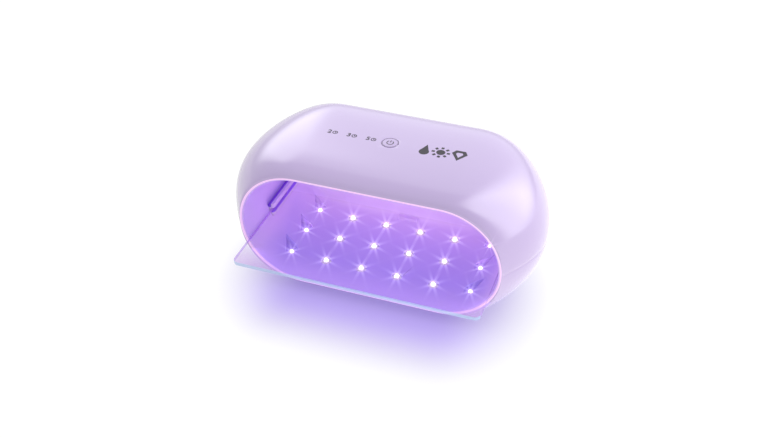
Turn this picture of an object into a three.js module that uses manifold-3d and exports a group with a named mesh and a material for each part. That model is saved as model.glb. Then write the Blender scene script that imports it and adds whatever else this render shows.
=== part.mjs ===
// UV curing lamp: a stadium-shaped case round a curing chamber that is lit from its floor and its roof,
// with a clear tray that slides on grooved side rails. Millimetres, +Z up, front towards -Y.
// The origin is on the ground, under the middle of the whole lamp with its tray drawn part way out.
import * as THREE from 'three';
import { mergeVertices } from 'three/addons/utils/BufferGeometryUtils.js';
import Module from 'manifold-3d';

const wasm = await Module();
wasm.setup();

// ---- Driving dimensions ----------------------------------------------------------------------------------

// Case. Every section across the depth is a stadium: a straight run of 2 * STRAIGHT_HALF and two ends.
const STRAIGHT_HALF = 51.65;
const CENTRE_Z = 54.5;
const FRONT_Y = -51;
const PEAK_Y = -0.3;
const BACK_Y = 52;
const MOUTH_RADIUS = 45;
const END_BULGE = 20.35;
const TOP_BULGE = 9.9;
const BOTTOM_BULGE = 7.5;
// How the bulge fades from its peak to the edge: (1 - share ** power) ** root.
const FADE = {
  frontEnd: { power: 2, root: 1.06 },
  backEnd: { power: 2, root: 0.855 },
  frontFace: { power: 2.07, root: 0.483 },
  backFace: { power: 2.26, root: 0.4425 },
};
const BACK_FILLET = 3;
const END_POWER = 2.16;
const LOWER_BACK_FULLNESS = 1.5;
const CASE_WALL = 2.2;
const CLEARANCE = 0.3;

// Chamber liner.
const CHAMBER_RADIUS = 42.7;
const LINER_WALL = 2;
const CHAMBER_BACK_Y = 46.4;
const LINER_BACK_Y = 47.9;
const CHAMBER_FILLET = 8;
const LINER_FILLET = 9.5;
const FLOOR_Z = CENTRE_Z - CHAMBER_RADIUS;
const FLOOR_UNDERSIDE_Z = FLOOR_Z - LINER_WALL;

// UV lamps, on a square grid, on the floor board and again on the roof board.
const LAMP_PITCH = 28;
const LAMP_COLUMNS = 6;
const LAMP_ROWS = 3;
const LAMP_MIDDLE_Y = 2.8;
const LAMP_HEIGHT = 4;
const LAMP_BASE_RADIUS = 2.6;
const LAMP_TIP_RADIUS = 1.5;
const LAMP_WINDOW_RADIUS = 3.9;
// The recess round each end lamp, flared outwards and back. Its plan: [distance from x = 0, y from the lamp].
const POCKET = {
  plan: [[66, -4.6], [70, -6.2], [73.4, -4.6], [74.2, -0.8], [78.2, 9.2], [68.4, 6.2], [65.6, 3]],
  wall: 1.1, floorRise: 0.8, height: 12,
};

// LED boards.
const BOARD_THICKNESS = 1;
const BOARD_GAP = 0.1;
const BOARD_OUTLINE = { halfWidth: 73.2, frontY: -31, backY: 37, chamfer: 4.5 };
const BOARD_SCREW_SPOTS = [[-56, -11.2], [56, -11.2], [-56, 16.8], [56, 16.8]];
const BOARD_SCREW_DEPTH = 1.3;

// Tray and its rails.
const TRAY = {
  halfWidth: 90.2, frontY: -80.2, backY: 13.8, bottomZ: 37.2, thickness: 3, frontCorner: 4.5, backCorner: 8,
};
const RAIL = { innerX: 88, frontY: -14, backY: 37, bottomZ: 34, topZ: 44.6, noseLength: 3, noseTipX: 89.5 };
const RAIL_SEAT = { innerX: 80, faceX: 94.4, wall: 2, topZ: 55.5 };
const GROOVE = { bottomZ: 36.9, topZ: 40.7, depth: 2.8 };
const RAIL_LIP = { thickness: 2.2, stepZ: 41.7 };
const RAIL_SCREW_Z = 38;
const RAIL_SCREW_YS = { front: -2, rear: 27 };
const RAIL_SCREW = { holeRadius: 1.5, holeDepth: 3.2, length: 6 };

// Controls, stacked down from the top of the case at x = 0, y = 0.
const CONTROL_BOARD = { leftX: -51.3, rightX: 10, frontY: -11, backY: 11, bottomZ: 102.3, topZ: 103.3 };
const CONTROL_BOSS = { radius: 2.4, holeDepth: 3 };
const CONTROL_SCREW_SPOTS = { left: [-46.5, 7.8], right: [6.5, -8.3] };
const SWITCH = { half: 3, topZ: 104.8, wellRadius: 1.7, wellFloorZ: 103.6 };
const STEM = { radius: 1.4, bottomZ: 104.1, topZ: 105.3 };
const BUTTON = {
  radius: 6, topZ: 109.6, flangeRadius: 7.2, flangeBottomZ: 105.6, flangeTopZ: 106.7, bossRadius: 1.5,
  chamfer: 0.4,
};
const BUTTON_HOLE_RADIUS = 6.3;
const TIMER_LIGHTS_X = [-14.5, -29, -43.5];
const SHADE = {
  leftX: -49.5, rightX: -8.5, halfDepth: 4.6, topZ: 106.9, cellHalfWidth: 4.6, cellHalfDepth: 3.2,
};
const INDICATOR = { halfWidth: 1.6, halfDepth: 0.8, height: 0.9 };
const CONNECTOR = { halfWidth: 3, depth: 3.2, topZ: 105.5 };
const SIDE_CONNECTOR = { halfWidth: 2, length: 5.3, lowerBottomZ: 5.4 };
const BOARD_OVERLAP = 0.2;

// Power inlet, low in the middle of the back.
const SOCKET = { halfWidth: 4.5, frontY: 43, backY: 50.35, bottomZ: 10.1, topZ: 13.3 };
const SOCKET_SHELL = {
  wall: 0.4, backWall: 1.2, tongueHalfWidth: 3.3, tongueInset: 0.6, tongueZs: [11.4, 12],
};
const SOCKET_SHELF = { halfWidth: 8, bottomZ: 4 };
const SOCKET_BOARD = { halfWidth: 10.4, frontY: 41.8, backY: 46.6, bottomZ: 9.1 };
const SOCKET_COVER = { halfWidth: 8, frontY: 41.2, topZ: 14.8, wall: 1.4 };

// Feet, screws and leads.
const FOOT = { radius: 7, edge: 0.6, topZ: 3.2, recessRadius: 7.3, bossRadius: 9.3, bossTopZ: 5.4 };
const FOOT_SPOTS = {
  front_left: [-48, -24], front_right: [48, -24], rear_left: [-48, 28], rear_right: [48, 28],
};
const POST = { x: 103, radius: 4, headWellRadius: 3.1, ledgeZ: 40, holeRadius: 1.6, holeTopZ: 66 };
const POST_YS = { front: -24, rear: 26 };
const HOUSING_SCREW = { headRadius: 2.7, headHeight: 2.2, shankRadius: 1.3, length: 24 };
const SMALL_SCREW = { headRadius: 2.1, headHeight: 1.2, shankRadius: 1.05 };
const CONTROL_SCREW = { ...SMALL_SCREW, headHeight: 0.9, length: 4.4 };
const SMALL_HOLE_RADIUS = 1.35;
const SCREW_GAP = 0.05;
const LEAD_RADIUS = 0.8;
const POWER_LEAD_RADIUS = 0.65;
const SIDE_LEAD_Y = -8.8;
const UPPER_LEAD_X = -30;
const POWER_LEAD_END_X = -4;
const LEAD_TOP_Z = 104.4;

// Facets.
const END_FACETS = 20;
const BAND_COUNT = 5;
const FILLET_BANDS = 3;
const HOLE_FACETS = 10;
const SMALL_FACETS = 8;
const FOOT_FACETS = 16;
const BUTTON_FACETS = 24;

const LINER_RADIUS = CHAMBER_RADIUS + LINER_WALL;
const BIG = 400;

// ---- Solids: three.js geometry to a manifold solid and back ----------------------------------------------

function toSolid(geometry) {
  const bare = geometry.clone();
  bare.deleteAttribute('normal');
  bare.deleteAttribute('uv');
  const merged = mergeVertices(bare, 1e-4);
  const index = merged.index.array;
  const corners = [];
  for (let i = 0; i < index.length; i += 3) {
    const [a, b, c] = [index[i], index[i + 1], index[i + 2]];
    if (a !== b && b !== c && c !== a) corners.push(a, b, c);
  }
  return new wasm.Manifold(new wasm.Mesh({
    numProp: 3,
    vertProperties: new Float32Array(merged.attributes.position.array),
    triVerts: new Uint32Array(corners),
  }));
}

function toGeometry(solid) {
  const mesh = solid.getMesh();
  const geometry = new THREE.BufferGeometry();
  geometry.setAttribute('position', new THREE.BufferAttribute(new Float32Array(mesh.vertProperties), 3));
  geometry.setIndex(new THREE.BufferAttribute(new Uint32Array(mesh.triVerts), 1));
  geometry.computeVertexNormals();
  return geometry;
}

function block(xs, ys, zs) {
  const [x0, x1] = [Math.min(...xs), Math.max(...xs)];
  const geometry = new THREE.BoxGeometry(x1 - x0, ys[1] - ys[0], zs[1] - zs[0]);
  geometry.translate((x0 + x1) / 2, (ys[0] + ys[1]) / 2, (zs[0] + zs[1]) / 2);
  return toSolid(geometry);
}

function upright(x, y, zs, bottomRadius, topRadius = bottomRadius, facets = HOLE_FACETS) {
  const geometry = new THREE.CylinderGeometry(topRadius, bottomRadius, zs[1] - zs[0], facets);
  geometry.rotateX(Math.PI / 2);
  geometry.translate(x, y, (zs[0] + zs[1]) / 2);
  return toSolid(geometry);
}

function sideways(y, z, xs, radius) {
  const geometry = new THREE.CylinderGeometry(radius, radius, Math.abs(xs[1] - xs[0]), HOLE_FACETS);
  geometry.rotateZ(Math.PI / 2);
  geometry.translate((xs[0] + xs[1]) / 2, y, z);
  return toSolid(geometry);
}

function plate(shape, zs, curveSegments = 4) {
  const depth = zs[1] - zs[0];
  const geometry = new THREE.ExtrudeGeometry(shape, { depth, bevelEnabled: false, curveSegments });
  geometry.translate(0, 0, zs[0]);
  return toSolid(geometry);
}

function lathe(profile, facets) {
  const geometry = new THREE.LatheGeometry(profile.map(([r, z]) => new THREE.Vector2(r, z)), facets);
  geometry.rotateX(Math.PI / 2);
  return geometry;
}

function addAll(solid, others) {
  return others.reduce((sum, other) => sum.add(other), solid);
}

function cutAll(solid, cutters) {
  return cutters.reduce((rest, cutter) => rest.subtract(cutter), solid);
}

// The same solid turned upside down about the chamber's middle, left to right.
function flipped(solid) {
  const geometry = toGeometry(solid);
  geometry.rotateY(Math.PI);
  geometry.translate(0, 0, 2 * CENTRE_Z);
  return geometry;
}

// ---- Lofts: a capped cylinder whose rings become stadium sections ----------------------------------------

// section(depthIndex, angle) gives an end's reach [outward, up] where angle runs from 0 at the top to PI
// at the bottom.
function loft(depths, section) {
  const pointsPerEnd = END_FACETS + 1;
  const ringCount = 2 * pointsPerEnd;
  const geometry = new THREE.CylinderGeometry(1, 1, 1, ringCount, depths.length - 1);
  const position = geometry.attributes.position;
  for (let i = 0; i < position.count; i++) {
    const [x, y, z] = [position.getX(i), position.getY(i), position.getZ(i)];
    const band = Math.round((y + 0.5) * (depths.length - 1));
    if (Math.hypot(x, z) < 0.5) {
      position.setXYZ(i, 0, depths[band], CENTRE_Z);
      continue;
    }
    const turn = Math.atan2(x, z) / (2 * Math.PI);
    const step = (Math.round(turn * ringCount) + ringCount) % ringCount;
    const left = step >= pointsPerEnd;
    const angle = Math.PI * (step % pointsPerEnd) / END_FACETS;
    const [outward, up] = section(band, left ? Math.PI - angle : angle);
    position.setXYZ(i, (left ? -1 : 1) * (STRAIGHT_HALF + outward), depths[band], CENTRE_Z + up);
  }
  return toSolid(geometry);
}

function bulge(share, { power, root }) {
  return Math.max(0, 1 - share ** power) ** root;
}

// How far a rounded back edge has drawn in at this depth.
function filletDrop(y, backY, fillet) {
  const past = Math.max(0, y - (backY - fillet));
  return fillet - Math.sqrt(Math.max(0, fillet * fillet - past * past));
}

// The case's outer form, or that form set inwards by `inset`.
function caseForm(inset) {
  const frontLength = PEAK_Y - FRONT_Y - inset;
  const backLength = BACK_Y - PEAK_Y - inset;
  const shares = [];
  for (let i = 0; i < BAND_COUNT; i++) shares.push(-Math.sin(Math.PI / 2 * (1 - i / BAND_COUNT)));
  for (let i = 0; i <= BAND_COUNT; i++) shares.push(Math.sin(Math.PI / 2 * i / BAND_COUNT));
  const depths = shares.map((share) => PEAK_Y + share * (share < 0 ? frontLength : backLength));
  const backFillet = Math.max(0, BACK_FILLET - inset);
  return loft(depths, (band, angle) => {
    const front = shares[band] < 0;
    const share = Math.abs(shares[band]);
    const upper = angle <= Math.PI / 2;
    const endGrowth = bulge(share, front ? FADE.frontEnd : FADE.backEnd);
    const faceGrowth = bulge(share, front ? FADE.frontFace : FADE.backFace);
    const edgeRadius = MOUTH_RADIUS - inset - filletDrop(depths[band], BACK_Y - inset, backFillet);
    const reach = edgeRadius + END_BULGE * endGrowth;
    const rise = edgeRadius + (upper ? TOP_BULGE : BOTTOM_BULGE) * faceGrowth;
    const power = END_POWER + (upper || front ? 0 : LOWER_BACK_FULLNESS * share);
    const across = Math.abs(Math.sin(angle)) ** (2 / power);
    const along = Math.abs(Math.cos(angle)) ** (2 / power);
    return [reach * across, (upper ? 1 : -1) * rise * along];
  });
}

// A stadium tub from frontY to backY whose back edge is rounded.
function tub(radius, frontY, backY, fillet) {
  const depths = [frontY];
  const radii = [radius];
  for (let i = 0; i <= FILLET_BANDS; i++) {
    const angle = Math.PI / 2 * i / FILLET_BANDS;
    depths.push(backY - fillet + fillet * Math.sin(angle));
    radii.push(radius - fillet + fillet * Math.cos(angle));
  }
  return loft(depths, (band, angle) => [radii[band] * Math.sin(angle), radii[band] * Math.cos(angle)]);
}

function stadium(radius, frontY, backY) {
  return loft([frontY, backY], (band, angle) => [radius * Math.sin(angle), radius * Math.cos(angle)]);
}

// ---- Scene graph -----------------------------------------------------------------------------------------

const MATERIALS = {
  case: () => new THREE.MeshStandardMaterial({ color: 0xd9c8ee, roughness: 0.18, metalness: 0 }),
  liner: () => new THREE.MeshStandardMaterial({ color: 0xe9dcf6, roughness: 0.35, metalness: 0 }),
  rail: () => new THREE.MeshStandardMaterial({ color: 0xd8c6f2, roughness: 0.4, metalness: 0 }),
  button: () => new THREE.MeshStandardMaterial({ color: 0xdccdf0, roughness: 0.25, metalness: 0 }),
  clear: () => new THREE.MeshStandardMaterial({
    color: 0xcfe0ff, roughness: 0.05, metalness: 0, transparent: true, opacity: 0.35,
  }),
  ledBoard: () => new THREE.MeshStandardMaterial({ color: 0xf2f2ee, roughness: 0.5, metalness: 0 }),
  greenBoard: () => new THREE.MeshStandardMaterial({ color: 0x1f6b3a, roughness: 0.45, metalness: 0 }),
  darkPlastic: () => new THREE.MeshStandardMaterial({ color: 0x232326, roughness: 0.5, metalness: 0 }),
  rubber: () => new THREE.MeshStandardMaterial({ color: 0xb9aecb, roughness: 0.85, metalness: 0 }),
  steel: () => new THREE.MeshStandardMaterial({ color: 0xb4b6ba, roughness: 0.3, metalness: 1 }),
  lead: () => new THREE.MeshStandardMaterial({ color: 0xb3242b, roughness: 0.5, metalness: 0 }),
};

const lamp = new THREE.Group();
lamp.position.y = -(TRAY.frontY + BACK_Y) / 2;

function addPart(name, geometry, material) {
  const mesh = new THREE.Mesh(geometry, MATERIALS[material]());
  mesh.name = name;
  lamp.add(mesh);
  return mesh;
}

// ---- Case ------------------------------------------------------------------------------------------------

const outerForm = caseForm(0);
const innerForm = caseForm(CASE_WALL);
const mouth = stadium(LINER_RADIUS + CLEARANCE, FRONT_Y - 5, FRONT_Y + 8);
const shell = outerForm.subtract(innerForm).subtract(mouth);
const upperSpace = block([-BIG, BIG], [-BIG, BIG], [CENTRE_Z, BIG]);
const lowerSpace = block([-BIG, BIG], [-BIG, BIG], [-BIG, CENTRE_Z]);

function postCylinders(zs, radius) {
  const cylinders = [];
  for (const side of [-1, 1]) {
    for (const y of Object.values(POST_YS)) cylinders.push(upright(side * POST.x, y, zs, radius));
  }
  return cylinders;
}

function housingPosts(zs) {
  return postCylinders(zs, POST.radius).map((post) => post.intersect(outerForm));
}

function buildUpperHousing() {
  const bosses = Object.values(CONTROL_SCREW_SPOTS).map(
    ([x, y]) => upright(x, y, [CONTROL_BOARD.topZ, BIG], CONTROL_BOSS.radius).intersect(outerForm));
  const bossHoleZs = [CONTROL_BOARD.topZ - 1, CONTROL_BOARD.topZ + CONTROL_BOSS.holeDepth];
  const bossHoles = Object.values(CONTROL_SCREW_SPOTS).map(
    ([x, y]) => upright(x, y, bossHoleZs, SMALL_HOLE_RADIUS));
  const solid = addAll(shell.intersect(upperSpace), [...housingPosts([CENTRE_Z, BIG]), ...bosses]);
  return cutAll(solid, [
    ...postCylinders([CENTRE_Z - 1, POST.holeTopZ], POST.holeRadius),
    ...bossHoles,
    upright(0, 0, [BUTTON.flangeTopZ, BIG], BUTTON_HOLE_RADIUS, BUTTON_HOLE_RADIUS, BUTTON_FACETS),
  ]);
}

function buildLowerHousing() {
  const spots = Object.values(FOOT_SPOTS);
  const bosses = spots.map(
    ([x, y]) => upright(x, y, [0, FOOT.bossTopZ], FOOT.bossRadius, FOOT.bossRadius, FOOT_FACETS));
  const recesses = spots.map(
    ([x, y]) => upright(x, y, [-1, FOOT.topZ], FOOT.recessRadius, FOOT.recessRadius, FOOT_FACETS));
  const shelf = block(
    [-SOCKET_SHELF.halfWidth, SOCKET_SHELF.halfWidth],
    [SOCKET_BOARD.frontY - 0.5, BACK_Y - 1],
    [SOCKET_SHELF.bottomZ, SOCKET_BOARD.bottomZ]);
  const slot = block(
    [-SOCKET.halfWidth - CLEARANCE, SOCKET.halfWidth + CLEARANCE],
    [SOCKET_BOARD.backY + 0.1, BACK_Y + 2],
    [SOCKET.bottomZ - CLEARANCE, SOCKET.topZ + CLEARANCE]);
  const solid = addAll(shell.intersect(lowerSpace), [
    ...housingPosts([-BIG, CENTRE_Z]),
    ...bosses.map((boss) => boss.intersect(outerForm)),
    shelf.intersect(outerForm),
  ]);
  return cutAll(solid, [
    ...postCylinders([-5, POST.ledgeZ], POST.headWellRadius),
    ...postCylinders([POST.ledgeZ - 1, CENTRE_Z + 1], POST.holeRadius),
    ...recesses,
    slot,
  ]);
}

addPart('upper_housing', toGeometry(buildUpperHousing()), 'case');
addPart('lower_housing', toGeometry(buildLowerHousing()), 'case');

// ---- Chamber liner ---------------------------------------------------------------------------------------

function lampSpots() {
  const spots = [];
  for (let row = 0; row < LAMP_ROWS; row++) {
    for (let column = 0; column < LAMP_COLUMNS; column++) {
      spots.push([
        (column - (LAMP_COLUMNS - 1) / 2) * LAMP_PITCH,
        LAMP_MIDDLE_Y + (row - (LAMP_ROWS - 1) / 2) * LAMP_PITCH,
      ]);
    }
  }
  return spots;
}

// Heights measured from the floor side, and the same heights turned over for the roof side.
function floorAndRoof(zs) {
  return [zs, [2 * CENTRE_Z - zs[1], 2 * CENTRE_Z - zs[0]]];
}

function endLampSpots() {
  return lampSpots().filter(([x]) => Math.abs(x) > STRAIGHT_HALF);
}

// The plan's extent, grown by the wall, as a box round each end lamp.
function pocketWalls(room) {
  const { plan, wall, height } = POCKET;
  const [xs, ys] = [0, 1].map((axis) => {
    const values = plan.map((corner) => corner[axis]);
    return [Math.min(...values) - wall, Math.max(...values) + wall];
  });
  return endLampSpots().flatMap(([lampX, lampY]) => {
    const levels = floorAndRoof([FLOOR_UNDERSIDE_Z, FLOOR_Z + height]);
    return levels.map((zs) => block(
      xs.map((x) => Math.sign(lampX) * x), ys.map((y) => lampY + y), zs).intersect(room));
  });
}

function pocketHollows() {
  return endLampSpots().flatMap(([lampX, lampY]) => {
    const outline = POCKET.plan.map(([x, y]) => new THREE.Vector2(Math.sign(lampX) * x, lampY + y));
    const levels = floorAndRoof([FLOOR_Z + POCKET.floorRise, FLOOR_Z + POCKET.height + 2]);
    return levels.map((zs) => plate(new THREE.Shape(outline), zs));
  });
}

function railSeatBlocks(grow, outerX) {
  const ys = [RAIL.frontY - CLEARANCE - grow, RAIL.backY + CLEARANCE + grow];
  const zs = [RAIL.bottomZ - CLEARANCE - grow, RAIL_SEAT.topZ + CLEARANCE + grow];
  return [-1, 1].map((side) => block([side * RAIL_SEAT.innerX, side * outerX], ys, zs));
}

function railScrewHoles() {
  const holes = [];
  for (const side of [-1, 1]) {
    for (const y of Object.values(RAIL_SCREW_YS)) {
      const xs = [side * (RAIL_SEAT.faceX - 1), side * (RAIL_SEAT.faceX + 2 * RAIL_SEAT.wall)];
      holes.push(sideways(y, RAIL_SCREW_Z, xs, RAIL_SCREW.holeRadius));
    }
  }
  return holes;
}

function boardScrewHoles() {
  const zs = [FLOOR_UNDERSIDE_Z - 1, FLOOR_UNDERSIDE_Z + BOARD_SCREW_DEPTH + 0.2];
  const holes = [];
  for (const [x, y] of BOARD_SCREW_SPOTS) {
    for (const level of floorAndRoof(zs)) {
      holes.push(upright(x, y, level, SMALL_HOLE_RADIUS, SMALL_HOLE_RADIUS, SMALL_FACETS));
    }
  }
  return holes;
}

function buildChamberLiner() {
  const room = caseForm(CASE_WALL + CLEARANCE);
  const chamber = tub(CHAMBER_RADIUS, FRONT_Y - 4, CHAMBER_BACK_Y, CHAMBER_FILLET);
  const seats = railSeatBlocks(RAIL_SEAT.wall, RAIL_SEAT.faceX + RAIL_SEAT.wall);
  let solid = addAll(tub(LINER_RADIUS, FRONT_Y, LINER_BACK_Y, LINER_FILLET), [
    ...pocketWalls(room),
    ...seats,
  ]);
  const cover = block(
    [-SOCKET_COVER.halfWidth, SOCKET_COVER.halfWidth],
    [SOCKET_COVER.frontY, CHAMBER_BACK_Y + 1],
    [FLOOR_Z - 1, SOCKET_COVER.topZ]);
  solid = solid.subtract(chamber).add(cover);
  const socketSpace = block(
    [SOCKET_COVER.wall - SOCKET_COVER.halfWidth, SOCKET_COVER.halfWidth - SOCKET_COVER.wall],
    [SOCKET_COVER.frontY + SOCKET_COVER.wall, BACK_Y],
    [0, SOCKET_COVER.topZ - SOCKET_COVER.wall]);
  const windows = [];
  for (const [x, y] of lampSpots()) {
    for (const level of floorAndRoof([FLOOR_UNDERSIDE_Z - 1, FLOOR_Z + 1])) {
      windows.push(upright(x, y, level, LAMP_WINDOW_RADIUS, LAMP_WINDOW_RADIUS, SMALL_FACETS));
    }
  }
  return cutAll(solid, [
    ...pocketHollows(),
    ...railSeatBlocks(0, RAIL_SEAT.faceX),
    ...railScrewHoles(),
    ...boardScrewHoles(),
    ...windows,
    socketSpace,
  ]);
}

addPart('chamber_liner', toGeometry(buildChamberLiner()), 'liner');

// ---- LED boards ------------------------------------------------------------------------------------------

const BOARD_TOP_Z = FLOOR_UNDERSIDE_Z - BOARD_GAP;
const BOARD_BOTTOM_Z = BOARD_TOP_Z - BOARD_THICKNESS;

function boardShape() {
  const { halfWidth, frontY, backY, chamfer } = BOARD_OUTLINE;
  const shape = new THREE.Shape();
  shape.moveTo(-halfWidth + chamfer, frontY);
  shape.lineTo(halfWidth - chamfer, frontY);
  shape.lineTo(halfWidth, frontY + chamfer);
  shape.lineTo(halfWidth, backY - chamfer);
  shape.lineTo(halfWidth - chamfer, backY);
  shape.lineTo(-halfWidth + chamfer, backY);
  shape.lineTo(-halfWidth, backY - chamfer);
  shape.lineTo(-halfWidth, frontY + chamfer);
  shape.closePath();
  return shape;
}

// The connector for the lead that joins the control board to the lower LED board round the left end.
function sideConnector(zs) {
  const { halfWidth, length } = SIDE_CONNECTOR;
  const ys = [SIDE_LEAD_Y - halfWidth, SIDE_LEAD_Y + halfWidth];
  return block([CONTROL_BOARD.leftX, CONTROL_BOARD.leftX + length], ys, zs);
}

function buildLedBoard(extras) {
  const lamps = lampSpots().map(([x, y]) => upright(
    x, y, [BOARD_TOP_Z - BOARD_OVERLAP, BOARD_TOP_Z + LAMP_HEIGHT],
    LAMP_BASE_RADIUS, LAMP_TIP_RADIUS, SMALL_FACETS));
  const board = addAll(plate(boardShape(), [BOARD_BOTTOM_Z, BOARD_TOP_Z]), [...lamps, ...extras]);
  const holes = BOARD_SCREW_SPOTS.map(
    ([x, y]) => upright(
      x, y, [BOARD_BOTTOM_Z - 1, BOARD_TOP_Z + 1], SMALL_HOLE_RADIUS, SMALL_HOLE_RADIUS, SMALL_FACETS));
  return cutAll(board, holes);
}

const lowerConnector = sideConnector([SIDE_CONNECTOR.lowerBottomZ, BOARD_TOP_Z - BOARD_OVERLAP]);
addPart('lower_led_board', toGeometry(buildLedBoard([lowerConnector])), 'ledBoard');
addPart('upper_led_board', flipped(buildLedBoard([])), 'ledBoard');

// ---- Tray and rails --------------------------------------------------------------------------------------

function buildTray() {
  const { halfWidth, frontY, backY, frontCorner, backCorner } = TRAY;
  const shape = new THREE.Shape();
  shape.moveTo(-halfWidth + frontCorner, frontY);
  shape.lineTo(halfWidth - frontCorner, frontY);
  shape.absarc(halfWidth - frontCorner, frontY + frontCorner, frontCorner, -Math.PI / 2, 0);
  shape.lineTo(halfWidth, backY - backCorner);
  shape.absarc(halfWidth - backCorner, backY - backCorner, backCorner, 0, Math.PI / 2);
  shape.lineTo(-halfWidth + backCorner, backY);
  shape.absarc(-halfWidth + backCorner, backY - backCorner, backCorner, Math.PI / 2, Math.PI);
  shape.lineTo(-halfWidth, frontY + frontCorner);
  shape.absarc(-halfWidth + frontCorner, frontY + frontCorner, frontCorner, Math.PI, Math.PI * 1.5);
  return plate(shape, [TRAY.bottomZ, TRAY.bottomZ + TRAY.thickness], 6);
}

function buildRail(side) {
  const outerX = RAIL_SEAT.faceX - CLEARANCE;
  const shape = new THREE.Shape();
  shape.moveTo(side * outerX, RAIL.frontY);
  shape.lineTo(side * RAIL.noseTipX, RAIL.frontY);
  shape.quadraticCurveTo(
    side * RAIL.innerX, RAIL.frontY + 1, side * RAIL.innerX, RAIL.frontY + RAIL.noseLength);
  shape.lineTo(side * RAIL.innerX, RAIL.backY);
  shape.lineTo(side * outerX, RAIL.backY);
  shape.closePath();
  const ys = [RAIL.frontY - 5, RAIL.backY + 5];
  const groove = block(
    [side * (RAIL.innerX - 5), side * (RAIL.innerX + GROOVE.depth)], ys, [GROOVE.bottomZ, GROOVE.topZ]);
  const step = block([side * (RAIL.innerX + RAIL_LIP.thickness), side * BIG], ys, [RAIL_LIP.stepZ, BIG]);
  const holeXs = [side * (RAIL_SEAT.faceX + 1), side * (RAIL_SEAT.faceX - RAIL_SCREW.holeDepth)];
  const screwHoles = Object.values(RAIL_SCREW_YS).map(
    (y) => sideways(y, RAIL_SCREW_Z, holeXs, SMALL_HOLE_RADIUS));
  return cutAll(plate(shape, [RAIL.bottomZ, RAIL.topZ]), [groove, step, ...screwHoles]);
}

addPart('curing_tray', toGeometry(buildTray()), 'clear');
addPart('left_tray_rail', toGeometry(buildRail(-1)), 'rail');
addPart('right_tray_rail', toGeometry(buildRail(1)), 'rail');

// ---- Controls --------------------------------------------------------------------------------------------

function connector(x, ys, zs) {
  return block([x - CONNECTOR.halfWidth, x + CONNECTOR.halfWidth], ys, zs);
}

function buildControlBoard() {
  const { leftX, rightX, frontY, backY, bottomZ, topZ } = CONTROL_BOARD;
  const { halfWidth, halfDepth, height } = INDICATOR;
  const indicatorZs = [topZ - BOARD_OVERLAP, topZ + height];
  const connectorZs = [topZ - BOARD_OVERLAP, CONNECTOR.topZ];
  const board = addAll(block([leftX, rightX], [frontY, backY], [bottomZ, topZ]), [
    ...TIMER_LIGHTS_X.map((x) => block([x - halfWidth, x + halfWidth], [-halfDepth, halfDepth], indicatorZs)),
    sideConnector(connectorZs),
    connector(UPPER_LEAD_X, [frontY, frontY + CONNECTOR.depth], connectorZs),
    connector(POWER_LEAD_END_X, [backY - CONNECTOR.depth, backY], connectorZs),
  ]);
  const holes = Object.values(CONTROL_SCREW_SPOTS).map(
    ([x, y]) => upright(x, y, [bottomZ - 1, topZ + 1], SMALL_HOLE_RADIUS));
  return cutAll(board, holes);
}

function buildSwitchBody() {
  const { half, topZ, wellRadius, wellFloorZ } = SWITCH;
  const well = upright(0, 0, [wellFloorZ, topZ + 1], wellRadius);
  return block([-half, half], [-half, half], [CONTROL_BOARD.topZ, topZ]).subtract(well);
}

function buildPowerButton() {
  const { radius, flangeRadius, bossRadius, flangeBottomZ, flangeTopZ, topZ, chamfer } = BUTTON;
  return toSolid(lathe([
    [0, STEM.topZ], [bossRadius, STEM.topZ], [bossRadius, flangeBottomZ], [flangeRadius, flangeBottomZ],
    [flangeRadius, flangeTopZ], [radius, flangeTopZ],
    [radius, topZ - chamfer], [radius - chamfer, topZ], [0, topZ],
  ], BUTTON_FACETS));
}

function buildLightShade() {
  const { leftX, rightX, halfDepth, topZ, cellHalfWidth, cellHalfDepth } = SHADE;
  const cellZs = [CONTROL_BOARD.topZ - 1, topZ + 1];
  const cells = TIMER_LIGHTS_X.map(
    (x) => block([x - cellHalfWidth, x + cellHalfWidth], [-cellHalfDepth, cellHalfDepth], cellZs));
  return cutAll(block([leftX, rightX], [-halfDepth, halfDepth], [CONTROL_BOARD.topZ, topZ]), cells);
}

addPart('control_board', toGeometry(buildControlBoard()), 'greenBoard');
addPart('switch_body', toGeometry(buildSwitchBody()), 'darkPlastic');
addPart('switch_stem', toGeometry(upright(0, 0, [STEM.bottomZ, STEM.topZ], STEM.radius)), 'darkPlastic');
addPart('power_button', toGeometry(buildPowerButton()), 'button');
addPart('timer_light_shade', toGeometry(buildLightShade()), 'darkPlastic');

// ---- Power inlet -----------------------------------------------------------------------------------------

function buildSocket() {
  const { halfWidth, frontY, backY, bottomZ, topZ } = SOCKET;
  const { wall, backWall, tongueHalfWidth, tongueInset, tongueZs } = SOCKET_SHELL;
  const opening = block(
    [wall - halfWidth, halfWidth - wall], [frontY + backWall, backY + 1], [bottomZ + wall, topZ - wall]);
  const tongueYs = [frontY + backWall - BOARD_OVERLAP, backY - tongueInset];
  const tongue = block([-tongueHalfWidth, tongueHalfWidth], tongueYs, tongueZs);
  return block([-halfWidth, halfWidth], [frontY, backY], [bottomZ, topZ]).subtract(opening).add(tongue);
}

const socketBoard = block(
  [-SOCKET_BOARD.halfWidth, SOCKET_BOARD.halfWidth],
  [SOCKET_BOARD.frontY, SOCKET_BOARD.backY],
  [SOCKET_BOARD.bottomZ, SOCKET.bottomZ]);
addPart('usb_socket', toGeometry(buildSocket()), 'steel');
addPart('usb_board', toGeometry(socketBoard), 'greenBoard');

// ---- Leads -----------------------------------------------------------------------------------------------

function buildLead(points, radius, steps) {
  const path = new THREE.CatmullRomCurve3(points.map((point) => new THREE.Vector3(...point)));
  const round = new THREE.Shape();
  round.absarc(0, 0, radius, 0, 2 * Math.PI);
  return toSolid(new THREE.ExtrudeGeometry(round, { extrudePath: path, steps, curveSegments: 4 }));
}

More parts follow.
